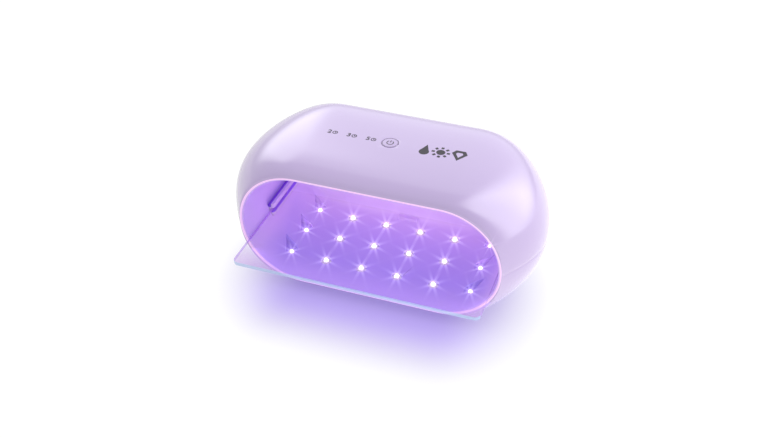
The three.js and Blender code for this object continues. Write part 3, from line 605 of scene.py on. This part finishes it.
def board_screw_holes():
    """Where the lamp boards' screws bite into the liner's underside and roof."""
    return [cylinder_shape(x, y, z0, z1, BOARD_SCREW_RADIUS, 20)
            for x, y in BOARD_SCREWS for z0, z1 in both_levels(FLOOR_Z - 3.0, FLOOR_Z - 0.5)]


def case_room():
    """A simple form of the space inside the case, as stations, that the recesses' walls must stay in."""
    front, back = FRONT_Y + 6, BACK_Y - 4
    return [(front, 0.0), (front, 62.0), (40.0, 62.0), (back, 47.0), (back, 0.0)]


def build_rim():
    """The rounded bead round the mouth, at the front of the liner."""
    middle = (RIM_BEAD["inner"] + RIM_BEAD["outer"]) / 2
    half = (RIM_BEAD["outer"] - RIM_BEAD["inner"]) / 2
    stations = [(FRONT_Y + 0.9, middle - half)]
    for i in range(9):
        angle = math.pi * i / 8
        stations.append((FRONT_Y + 0.5 - 0.7 * math.sin(angle), middle - half * math.cos(angle)))
    stations.append((FRONT_Y + 0.9, middle + half))
    rim = piece("mouth_rim", *skin(stations), RIM)
    attach(rim, "housing")
    sharpen(rim.data, 50)


# ---- Build: case ----

def build_case():
    """The two shells, with the button's hole above and the recesses for feet, screws and socket below."""
    upper = piece("upper_shell", *half_shell(True), CASE)
    close_seams(upper)
    combine(upper, cutter(cylinder_shape(0, 0, 100, 120, BUTTON["hole"], 96)), "DIFFERENCE")
    lower = piece("lower_shell", *half_shell(False), CASE)
    close_seams(lower)
    hollows = [cylinder_shape(x, y, -2, FOOT_RECESS["top"], FOOT_RECESS["radius"], 64)
               for x in FOOT_RECESS["x"] for y in FOOT_RECESS["y"]]
    hollows += [cylinder_shape(x, y, -5, SCREW_WELL["top"], SCREW_WELL["radius"], 40)
                for x in SCREW_WELL["x"] for y in SCREW_WELL["y"]]
    hollows.append(rounded_slot(*SOCKET_SLOT.values(), BACK_Y - 6, BACK_Y + 2))
    combine(lower, cutter(*hollows), "DIFFERENCE")
    for shell, node in ((upper, "upper_housing"), (lower, "lower_housing")):
        round_edges(shell, 0.22, 2, 40)
        sharpen(shell.data, 40)
        attach(shell, "housing", node)


def rounded_slot(half, z0, z1, y0, y1, steps=10):
    """A slot with round ends, along y: half its width across, from z0 to z1."""
    radius = (z1 - z0) / 2
    middle = (z0 + z1) / 2
    outline = []
    for i in range(steps + 1):
        angle = -math.pi / 2 + math.pi * i / steps
        outline.append((half - radius + radius * math.cos(angle), middle + radius * math.sin(angle)))
    outline += [(-x, z) for x, z in reversed(outline)]
    count = len(outline)
    points = [(x, y0, z) for x, z in outline] + [(x, y1, z) for x, z in outline]
    faces = [tuple(range(count)), tuple(range(2 * count - 1, count - 1, -1))]
    faces += [(i, (i + 1) % count, count + (i + 1) % count, count + i) for i in range(count)]
    return points, faces


# ---- Build: tray ----

def build_tray():
    """The clear sheet, with painted light on its front and side edges: a glowing light blue at the front,
    violet at the sides.
    """
    low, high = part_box("curing_tray")
    half, z0, z1 = high.x / MM, low.z / MM, high.z / MM
    front, back = (low.y - SHIFT_Y) / MM, (high.y - SHIFT_Y) / MM
    outline = []
    for side, edge, start in ((1, "front", -90), (1, "back", 0), (-1, "back", 90), (-1, "front", 180)):
        radius = TRAY_CORNER[edge]
        ox = side * (half - radius)
        oy = front + radius if edge == "front" else back - radius
        for i in range(15):
            angle = math.radians(start + 90 * i / 14)
            outline.append((ox + radius * math.cos(angle), oy + radius * math.sin(angle)))
    tray = piece("clear_tray", *upright_shape(outline, z0, z1), CLEAR, CLEAR_EDGE, CLEAR_SIDE)
    round_edges(tray, 0.3, 2, 50)
    for face in tray.data.polygons:
        upright = abs(face.normal.z) < 0.9
        front_facing = face.normal.y < -0.25
        side_facing = abs(face.normal.x) > 0.8
        face.material_index = 1 if upright and front_facing else 2 if upright and side_facing else 0
    sharpen(tray.data, 30)
    attach(tray, "curing_tray", "curing_tray")


# ---- Build: lamps ----

def dome_profile(z, radius, height, steps=6):
    """A quarter ellipse from the rim up to the top, as (radius, height) pairs."""
    out = [(radius, z)]
    for i in range(1, steps + 1):
        angle = math.pi / 2 * i / steps
        out.append((radius * math.cos(angle), z + height * math.sin(angle)))
    return out


def build_lamp_board(name, node, turned):
    """A board with its lamps, under the floor, or turned over above the roof."""
    def place(shape):
        points, faces = shape
        return [(x, y, 2 * CENTRE_Z - z if turned else z) for x, y, z in points], faces

    half, front, back, cut = (LED_BOARD[key] for key in ("half", "front", "back", "corner"))
    corners = [(half - cut, front), (half, front + cut), (half, back - cut), (half - cut, back)]
    outline = corners + [(-x, y) for x, y in reversed(corners)]
    top = LED_BOARD["top"]
    board = piece(name, *place(upright_shape(outline, top - LED_BOARD["thickness"], top)), LAMP_BOARD)
    holes = [place(cylinder_shape(x, y, top - 3, top + 1, BOARD_SCREW_RADIUS, 20)) for x, y in BOARD_SCREWS]
    combine(board, cutter(*holes), "DIFFERENCE")
    round_edges(board, 0.08, 1)
    sharpen(board.data)
    attach(board, "housing", node)
    bodies, domes = [], []
    half, ledge, crown = LAMP["half"], top + LAMP["body"], top + LAMP["height"]
    collar = [(0.0, ledge), (LAMP["collar"], ledge), (half, crown), (0.0, crown)]
    for x, y in LAMP_SPOTS:
        bodies.append(place(box_shape((x - half, x + half), (y - half, y + half), (top, ledge))))
        bodies.append(place(turned_shape(collar, (x, y), 28)))
        rise = LAMP["end_rise"] if abs(x) > STRAIGHT_HALF else LAMP["rise"]
        profile = [(0.0, crown)] + dome_profile(crown, LAMP["dome"], rise)
        domes.append(place(turned_shape(profile, (x, y), 24)))
    for part, shapes, mat, angle in (("_packages", bodies, LAMP_BODY, 30), ("_lenses", domes, LAMP_DOME, 50)):
        group = piece(name + part, *joined(shapes), mat)
        attach(group, "housing")
        sharpen(group.data, angle)


# ---- Build: controls and printed marks ----

def top_z(y):
    """The height of the case's flat-topped middle at a depth."""
    share = abs(y - PEAK_Y) / (PEAK_Y - FRONT_Y if y < PEAK_Y else BACK_Y - PEAK_Y)
    return CENTRE_Z + MOUTH_RADIUS + TOP_BULGE * bulge(share, "front_face" if y < PEAK_Y else "back_face")


def circle(radius, count=40):
    return [(radius * math.cos(2 * math.pi * i / count), radius * math.sin(2 * math.pi * i / count))
            for i in range(count)]


def bar(x0, y0, x1, y1, width):
    """A straight stroke from one point to another."""
    dx, dy = x1 - x0, y1 - y0
    length = math.hypot(dx, dy)
    nx, ny = -dy / length * width / 2, dx / length * width / 2
    return [(x0 + nx, y0 + ny), (x0 - nx, y0 - ny), (x1 - nx, y1 - ny), (x1 + nx, y1 + ny)]


def arc_band(radius, width, start, end, steps=32):
    """A stroke along an arc round the middle, between two angles in degrees."""
    angles = [math.radians(start + (end - start) * i / steps) for i in range(steps + 1)]
    outside, inside = ([(r * math.cos(a), r * math.sin(a)) for a in angles]
                       for r in (radius + width / 2, radius - width / 2))
    return outside + inside[::-1]


def flat_outline(name, loops):
    """A filled, thin shape from closed loops, where a loop inside another is a hole."""
    curve = bpy.data.curves.new(name, "CURVE")
    curve.dimensions = "2D"
    curve.fill_mode = "BOTH"
    curve.extrude = 1.0
    for loop in loops:
        spline = curve.splines.new("POLY")
        spline.points.add(len(loop) - 1)
        for point, (x, y) in zip(spline.points, loop):
            point.co = (x, y, 0.0, 1.0)
        spline.use_cyclic_u = True
    return curve


def numeral(text, size):
    """A filled, slightly bold numeral."""
    curve = bpy.data.curves.new("numeral", "FONT")
    curve.body = text
    curve.size = size
    curve.offset = 0.16
    curve.extrude = 1.0
    curve.align_x = "CENTER"
    curve.align_y = "CENTER"
    return curve


def print_mark(name, curves, height_at, body, thickness=0.03, sunk=0.12):
    """Thin ink solids, from (curve, (x, y)) pairs, laid on the surface whose height is height_at(y)."""
    bm = bmesh.new()
    for curve, (x, y) in curves:
        source = new_object("source", curve)
        bpy.context.view_layer.update()
        graph = bpy.context.evaluated_depsgraph_get()
        mesh = bpy.data.meshes.new_from_object(source.evaluated_get(graph), depsgraph=graph)
        mesh.transform(Matrix.Translation((x, y, 0.0)))
        bm.from_mesh(mesh)
        bpy.data.objects.remove(source)
    for vert in bm.verts:
        surface = height_at(vert.co.y)
        vert.co = row(vert.co.x, vert.co.y, surface + (thickness if vert.co.z > 0 else -sunk))
    bmesh.ops.remove_doubles(bm, verts=bm.verts, dist=1e-7)
    bmesh.ops.recalc_face_normals(bm, faces=bm.faces)
    mesh = bpy.data.meshes.new(name)
    bm.to_mesh(mesh)
    bm.free()
    mesh.materials.append(PRINT)
    attach(new_object(name, mesh), body)


def timer_mark(text, x):
    """A numeral and a small clock, side by side."""
    y, radius = TIMER_MARK["y"], TIMER_MARK["radius"]
    clock = (x + TIMER_MARK["clock"], y)
    hands = [bar(0, -0.3, 0, radius * 0.6, 0.6), bar(-0.3, 0, radius * 0.5, 0, 0.6)]
    glyphs = [(numeral(text, TIMER_MARK["size"]), (x + TIMER_MARK["numeral"], y))]
    glyphs.append((flat_outline("dial", [circle(radius), circle(radius * 0.68)]), clock))
    return glyphs + [(flat_outline("hand", [hand]), clock) for hand in hands]


def build_marks():
    """The marks printed on the case, and the ring and the sign on the power button."""
    for name, text, x in TIMER_MARKS:
        print_mark(f"timer_mark_{name}", timer_mark(text, x), top_z, "housing")
    drop = []
    for i in range(41):
        angle = math.radians(-220 + 260 * i / 40)
        drop.append((DROP["radius"] * math.cos(angle), DROP["low"] + DROP["radius"] * math.sin(angle)))
    drop = [(0.0, DROP["tip"])] + drop[::-1]
    burst = [(flat_outline("sun", [circle(SUN["radius"])]), (SUN["x"], 0.0))]
    for i in range(SUN["rays"]):
        angle = 2 * math.pi * i / SUN["rays"]
        ends = [reach * f(angle) for reach in (SUN["ray_from"], SUN["ray_to"]) for f in (math.cos, math.sin)]
        burst.append((flat_outline("ray", [bar(*ends, SUN["ray_width"])]), (SUN["x"], 0.0)))
    glyphs = [(flat_outline("drop", [drop]), (DROP["x"], DROP["y"]))] + burst
    glyphs.append((flat_outline("gem", [GEM_OUTLINE, GEM_HOLE]), (GEM["x"], GEM["y"])))
    print_mark("resin_pictogram", glyphs, top_z, "housing")
    button_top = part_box("power_button")[1].z / MM
    stroke = POWER["stroke"]
    power = [[arc_band(POWER["radius"], stroke, 125, 415)],
             [bar(0, POWER["foot"], 0, POWER["top"], stroke)],
             [circle(POWER["ring_outer"], 72), circle(POWER["ring_inner"], 72)]]
    glyphs = [(flat_outline("power", loops), (0, 0)) for loops in power]
    print_mark("power_symbol", glyphs, lambda y: button_top, "power_button", thickness=0.02)


def build_button():
    """A round cap with a flange that keeps it in the case."""
    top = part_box("power_button")[1].z / MM
    radius, soft, flange, low, high = (BUTTON[key] for key in ("radius", "round", "flange", "low", "high"))
    profile = [(0.0, low - 0.3), (1.5, low - 0.3), (1.5, low), (flange, low), (flange, high), (radius, high)]
    profile.append((radius, top - soft))
    for i in range(1, 6):
        angle = math.pi / 2 * i / 5
        profile.append((radius - soft + soft * math.cos(angle), top - soft + soft * math.sin(angle)))
    profile.append((0.0, top))
    button = piece("push_button", *turned_shape(profile, (0, 0), 96), BUTTON_CAP)
    attach(button, "power_button", "power_button")
    sharpen(button.data, 40)


# ---- Build: feet, screws, socket ----

def build_feet():
    """Rubber pads with a dished underside."""
    for node in [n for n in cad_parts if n.startswith("foot_")]:
        low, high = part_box(node)
        x, y = (low.x + high.x) / 2 / MM, ((low.y + high.y) / 2 - SHIFT_Y) / MM
        radius, top = (high.x - low.x) / 2 / MM, high.z / MM
        profile = [(0.0, 0.35), (2.4, 0.35), (2.7, 0.0), (radius - 1.0, 0.0), (radius - 0.4, 0.15)]
        profile += [(radius, 0.6), (radius, top), (0.0, top)]
        foot = piece(node + "_pad", *turned_shape(profile, (x, y), 64), RUBBER)
        attach(foot, "housing", node)
        sharpen(foot.data, 40)


def screw_shape(length, head_radius, head_height, shank_radius):
    """A pan-head screw with a cross recess, standing on its head at z = 0, with ridges round its shank."""
    root = shank_radius * 0.85
    profile = [(0.0, 0.0), (head_radius * 0.55, 0.0), (head_radius * 0.85, head_height * 0.12)]
    profile += [(head_radius, head_height * 0.45), (head_radius, head_height), (root, head_height)]
    z, pitch = head_height + 0.2, 0.5
    while z < length - 0.5:
        profile += [(root, z), (shank_radius, z + pitch * 0.35), (root, z + pitch * 0.7)]
        z += pitch
    profile += [(root, length - 0.3), (shank_radius * 0.55, length), (0.0, length)]
    return turned_shape(profile, (0, 0), 24)


def local_object(name, shape):
    """An object whose points are in mm round its own origin."""
    points, faces = shape
    mesh = bpy.data.meshes.new(name)
    mesh.from_pydata([Vector(p) * MM for p in points], [], faces)
    return new_object(name, mesh)


def build_screws():
    """Every screw, in its CAD node's place: the rails' lie across, the upper board's hang, the rest stand."""
    for node in [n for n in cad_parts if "screw" in n]:
        low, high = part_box(node)
        middle = (low + high) / 2
        across = node.startswith("rail")
        length = (high.x - low.x if across else high.z - low.z) / MM
        head_radius = (high.y - low.y) / MM / 2
        big = node.startswith("housing")
        head = 2.2 if big else 0.9 if node.startswith("control") else 1.2
        screw = local_object(node + "_fine", screw_shape(length, head_radius, head, 1.3 if big else 1.05))
        screw.data.materials.append(SCREW_STEEL)
        weld(screw.data, 1e-6)
        for shares in ((0.55, 0.13), (0.13, 0.55)):
            xs, ys = ((-head_radius * share, head_radius * share) for share in shares)
            combine(screw, local_object("slot", box_shape(xs, ys, (-1, head * 0.55))), "DIFFERENCE")
        if across:
            side = -1 if middle.x < 0 else 1
            turn = Matrix.Rotation(-side * math.pi / 2, 4, "Y")
            start = Vector((high.x if side > 0 else low.x, middle.y, middle.z))
        elif node.startswith("upper_board"):
            turn = Matrix.Rotation(math.pi, 4, "X")
            start = Vector((middle.x, middle.y, high.z))
        else:
            turn = Matrix.Identity(4)
            start = Vector((middle.x, middle.y, low.z))
        screw.data.transform(Matrix.Translation(start) @ turn)
        sharpen(screw.data, 35)
        attach(screw, "housing", node)


def build_socket():
    """The power inlet: a plated shell and the tongue in it."""
    low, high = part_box("usb_socket")
    half, z0, z1 = high.x / MM, low.z / MM, high.z / MM
    y0, y1 = (low.y - SHIFT_Y) / MM, (high.y - SHIFT_Y) / MM
    shell = piece("usb_socket_shell", *rounded_slot(half, z0, z1, y0, y1), SOCKET_METAL)
    wall = 0.35
    hollow = rounded_slot(half - wall, z0 + wall, z1 - wall, y0 + 1.0, y1 + 2)
    combine(shell, piece("hollow", *hollow, SOCKET_METAL), "DIFFERENCE")
    middle = (z0 + z1) / 2
    tongue = box_shape((-3.2, 3.2), (y0 + 0.9, y1 - 0.8), (middle - wall, middle + wall))
    tongue = piece("usb_socket_tongue", *tongue, BLACK)
    for part, width in ((shell, 0.08), (tongue, 0.15)):
        round_edges(part, width, 2)
        sharpen(part.data)
    attach(shell, "housing", "usb_socket")
    attach(tongue, "housing")


def refine(node, mat, width):
    """Keeps a CAD node, with a procedural surface and slightly rounded edges."""
    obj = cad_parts[node]
    joiner = obj.modifiers.new("weld", "WELD")
    joiner.merge_threshold = 1e-6
    if width:
        modifier = obj.modifiers.new("round", "BEVEL")
        modifier.width = width * MM
        modifier.segments = 2
        modifier.limit_method = "ANGLE"
        modifier.angle_limit = math.radians(35)
    obj.data.materials.clear()
    obj.data.materials.append(mat)


def shade_rail(node):
    """Paints shade on the sunk step behind the rail's lip with a deeper colour, and paints light on the floor
    of its groove with a glowing one.
    """
    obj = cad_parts[node]
    obj.data.materials.append(RAIL_SHADE)
    obj.data.materials.append(GROOVE_PAINTED_GLOW)
    for face in obj.data.polygons:
        centre = obj.matrix_world @ face.center / MM
        if abs(centre.x) > RAIL_LIP["back"] - 0.1 and centre.z > RAIL_LIP["step"] - 0.1:
            face.material_index = 1
        elif abs(centre.z - GROOVE_FLOOR_Z) < 0.1:
            face.material_index = 2


build_case()
build_liner()
build_rim()
build_tray()
build_lamp_board("lower_lamps", "lower_led_board", False)
build_lamp_board("upper_lamps", "upper_led_board", True)
build_button()
build_marks()
build_feet()
build_screws()
build_socket()
for rail in ("left_tray_rail", "right_tray_rail"):
    refine(rail, RAIL, 0.3)
    shade_rail(rail)
for node in ("control_board", "usb_board"):
    refine(node, CIRCUIT, 0.1)
for node, width in (("switch_body", 0.15), ("switch_stem", 0.1), ("timer_light_shade", 0.15)):
    refine(node, BLACK, width)
for node in ("power_lead", "lower_led_lead", "upper_led_lead"):
    refine(node, LEAD, 0.0)


# ---- Stage: floor, studio, chamber light, camera ----

FRONT_LEVEL = 0.75
BACK_LEVEL = 1.35
# Each side panel: its azimuth from the back towards the right and its elevation, in degrees, each as where it
# starts to rise, is full, starts to fall and has gone; how much its lower edge falls for each degree past
# TILT_AZIMUTH; its level, and its level in reflections.
PANELS = [
    {"az": (14, 42, 82, 96), "el": (-8, 24, 58, 88), "tilt": 0.35, "level": 1.2, "shine": 2.7},
    {"az": (-64, -52, -32, -20), "el": (5, 17, 40, 52), "tilt": 0.0, "level": 0.8, "shine": 1.3},
]
TILT_AZIMUTH = 40.0
# Where the lamp's own light shows on the floor, in metres: the ends of a line under the mouth, how far from
# it the floor starts to turn plain white and has done so, and how much shorter that is sideways. Between the
# two distances of GLOW_SIDES from x = 0, the glow turns from its middle colour to the paler one at the sides.
GLOW_LINE = (-0.058, 0.060)
GLOW_Y = SHIFT_Y - 0.0185
GLOW_FADE = (0.035, 0.106)
GLOW_SQUEEZE = 1.38
GLOW_SIDES = (0.050, 0.105)
GLOW_COLOUR = (0.25, 0.19, 0.48, 1)
SIDE_COLOUR = (0.45, 0.42, 0.58, 1)
WHITE = (1, 1, 1, 1)

# Soft lights that carry the lamps' light through the chamber and onto the floor under the mouth. Each has its
# name, place in mm, size in metres, aim, colour, watts and spread in degrees.
CHAMBER_LIGHTS = [
    ("roof_glow", (0, -4, 92), (0.15, 0.075), (0, 0, -1), (0.08, 0.2, 0.95), 0.013, 180),
    ("floor_glow", (0, -4, 17), (0.15, 0.075), (0, 0.35, 1), (1.0, 0.42, 0.65), 0.022, 180),
    ("back_glow", (0, 4, 52), (0.15, 0.03), (0, 1, -0.15), (1.0, 0.62, 0.3), 0.014, 120),
    ("end_glow", (-36, -8, 56), (0.07, 0.04), (-1, 0, 0), (1.0, 0.3, 0.5), 0.0018, 130),
    ("under_glow", (0, -64, 30), (0.19, 0.03), (0, 0, -1), (0.50, 0.34, 1.0), 0.019, 180),
]
STREAKS = {"Threshold": 3.0, "Strength": 0.8, "Saturation": 1.0, "Streaks": 8, "Iterations": 3, "Fade": 0.8,
           "Color Modulation": 0.0, "Streaks Angle": 0.28}
HALO = {"Threshold": 3.0, "Strength": 0.16, "Saturation": 1.0, "Size": 0.15}
CAMERA = {"place": (195.07, -556.45, 482.98), "azimuth": 19.33, "elevation": 36.73, "lens": 45.93}


def build_floor():
    """A white floor that glows violet in front of the mouth, where the lamp's own light falls."""
    mesh = bpy.data.meshes.new("floor")
    mesh.from_pydata([(-4, -4, 0), (4, -4, 0), (4, 4, 0), (-4, 4, 0)], [], [(0, 1, 2, 3)])
    mat = material("floor_paper", (0.30, 0.30, 0.33, 1), 0.9, second=(0.29, 0.29, 0.32, 1), grain=400,
                   bump=0.0, cloud=3, ior=1.2)
    graph = Graph(mat.node_tree)
    x, y, _ = graph.split("Object")
    nearest = graph.math("MINIMUM", graph.math("MAXIMUM", x, GLOW_LINE[0]), GLOW_LINE[1])
    across = graph.times(graph.minus(x, nearest), GLOW_SQUEEZE)
    along = graph.minus(y, GLOW_Y)
    away = graph.math("SQRT", graph.plus(graph.times(across, across), graph.times(along, along)))
    white = graph.step(away, *GLOW_FADE)
    # The camera sees the floor at full strength. Other rays see 0.8 on the left and 1.2 on the right.
    unseen = graph.plus(0.8, graph.times(graph.step(x, -0.1, 0.1), 0.4))
    seen = graph.add("LightPath").outputs["Is Camera Ray"]
    strength = graph.plus(seen, graph.times(unseen, graph.minus(1.0, seen)))
    aside = graph.step(graph.math("ABSOLUTE", x), *GLOW_SIDES)
    glow = graph.blend(white, graph.blend(aside, GLOW_COLOUR, SIDE_COLOUR), WHITE)
    paper = graph.shader.inputs["Base Color"].links[0].from_socket
    colour = graph.blend(white, paper, (0.05, 0.05, 0.05, 1))
    for socket, value in (("Emission Strength", strength), ("Emission Color", glow), ("Base Color", colour)):
        graph.put(graph.shader.inputs[socket], value)
    mesh.materials.append(mat)
    new_object("floor", mesh)


def build_studio():
    """Soft studio light: a broad panel behind and above the lamp, one at each side, and a quiet front."""
    world = bpy.data.worlds.new("studio")
    bpy.context.scene.world = world
    world.use_nodes = True
    world.node_tree.nodes.clear()
    graph = Graph(world.node_tree)
    x, y, z = graph.split("Generated")
    azimuth, elevation = (graph.times(angle, 180.0 / math.pi)
                          for angle in (graph.math("ARCTAN2", x, y), graph.math("ARCSINE", z)))
    # The back panel's front edge is crisp on the left and soft on the right.
    rightness = graph.step(x, -0.2, 0.35)
    crisp = graph.times(graph.step(y, 0.40, 0.48), graph.minus(1.0, rightness))
    soft = graph.times(graph.step(y, 0.32, 0.56), rightness)
    behind = graph.times(graph.plus(crisp, soft), graph.step(elevation, 2, 12))
    level = graph.plus(FRONT_LEVEL, graph.times(behind, BACK_LEVEL - FRONT_LEVEL))
    path = graph.add("LightPath")
    for panel in PANELS:
        tilted = graph.plus(elevation, graph.times(graph.minus(azimuth, TILT_AZIMUTH), panel["tilt"]))
        mask = 1.0
        for value, low, high in ((azimuth, *panel["az"][:2]), (azimuth, *panel["az"][:1:-1]),
                                 (tilted, *panel["el"][:2]), (elevation, *panel["el"][:1:-1])):
            mask = graph.times(mask, graph.step(value, low, high))
        extra = graph.times(path.outputs["Is Glossy Ray"], panel["shine"] - panel["level"])
        level = graph.plus(level, graph.times(mask, graph.plus(extra, panel["level"])))
    choose = graph.add("MixShader", {"Fac": path.outputs["Is Camera Ray"]})
    for slot, colour, strength in ((1, (0.975, 0.99, 1.0, 1), level), (2, WHITE, 1.0)):
        light = graph.add("Background", {"Color": colour, "Strength": strength})
        graph.put(choose.inputs[slot], light.outputs[0])
    graph.add("OutputWorld", {"Surface": choose.outputs[0]})


def build_chamber_light():
    """Soft lights in and under the chamber that aren't seen themselves, nor in reflections."""
    for name, place, size, aim, colour, watts, spread in CHAMBER_LIGHTS:
        light = bpy.data.lights.new(name, "AREA")
        light.shape = "RECTANGLE"
        light.size, light.size_y = size
        light.color = colour
        light.energy = watts
        light.spread = math.radians(spread)
        obj = new_object(name, light)
        obj.location = row(*place)
        obj.rotation_euler = Vector(aim).to_track_quat("-Z", "Y").to_euler()
        obj.visible_camera = False
        obj.visible_glossy = False


def build_camera():
    """The camera at the photo's angle."""
    camera = bpy.data.cameras.new("camera")
    camera.lens = CAMERA["lens"]
    camera.sensor_width = 36.0
    obj = new_object("camera", camera)
    obj.location = row(*CAMERA["place"])
    azimuth, elevation = math.radians(CAMERA["azimuth"]), math.radians(CAMERA["elevation"])
    level = math.cos(elevation)
    look = Vector((-level * math.sin(azimuth), level * math.cos(azimuth), -math.sin(elevation)))
    obj.rotation_euler = look.to_track_quat("-Z", "Y").to_euler()
    bpy.context.scene.camera = obj


def build_glints():
    """The lamps' glints: short streaks and a faint halo round whatever is far brighter than white."""
    scene = bpy.context.scene
    scene.use_nodes = True
    tree = scene.node_tree
    tree.nodes.clear()
    layers = tree.nodes.new("CompositorNodeRLayers")
    last = layers.outputs["Image"]
    for kind, settings in (("STREAKS", STREAKS), ("BLOOM", HALO)):
        glare = tree.nodes.new("CompositorNodeGlare")
        glare.glare_type = kind
        glare.quality = "HIGH"
        for name, value in settings.items():
            glare.inputs[name].default_value = value
        tree.links.new(last, glare.inputs["Image"])
        last = glare.outputs["Image"]
    out = tree.nodes.new("CompositorNodeComposite")
    tree.links.new(last, out.inputs["Image"])


build_floor()
build_studio()
build_chamber_light()
build_camera()
build_glints()
bpy.context.scene.view_settings.view_transform = "Standard"
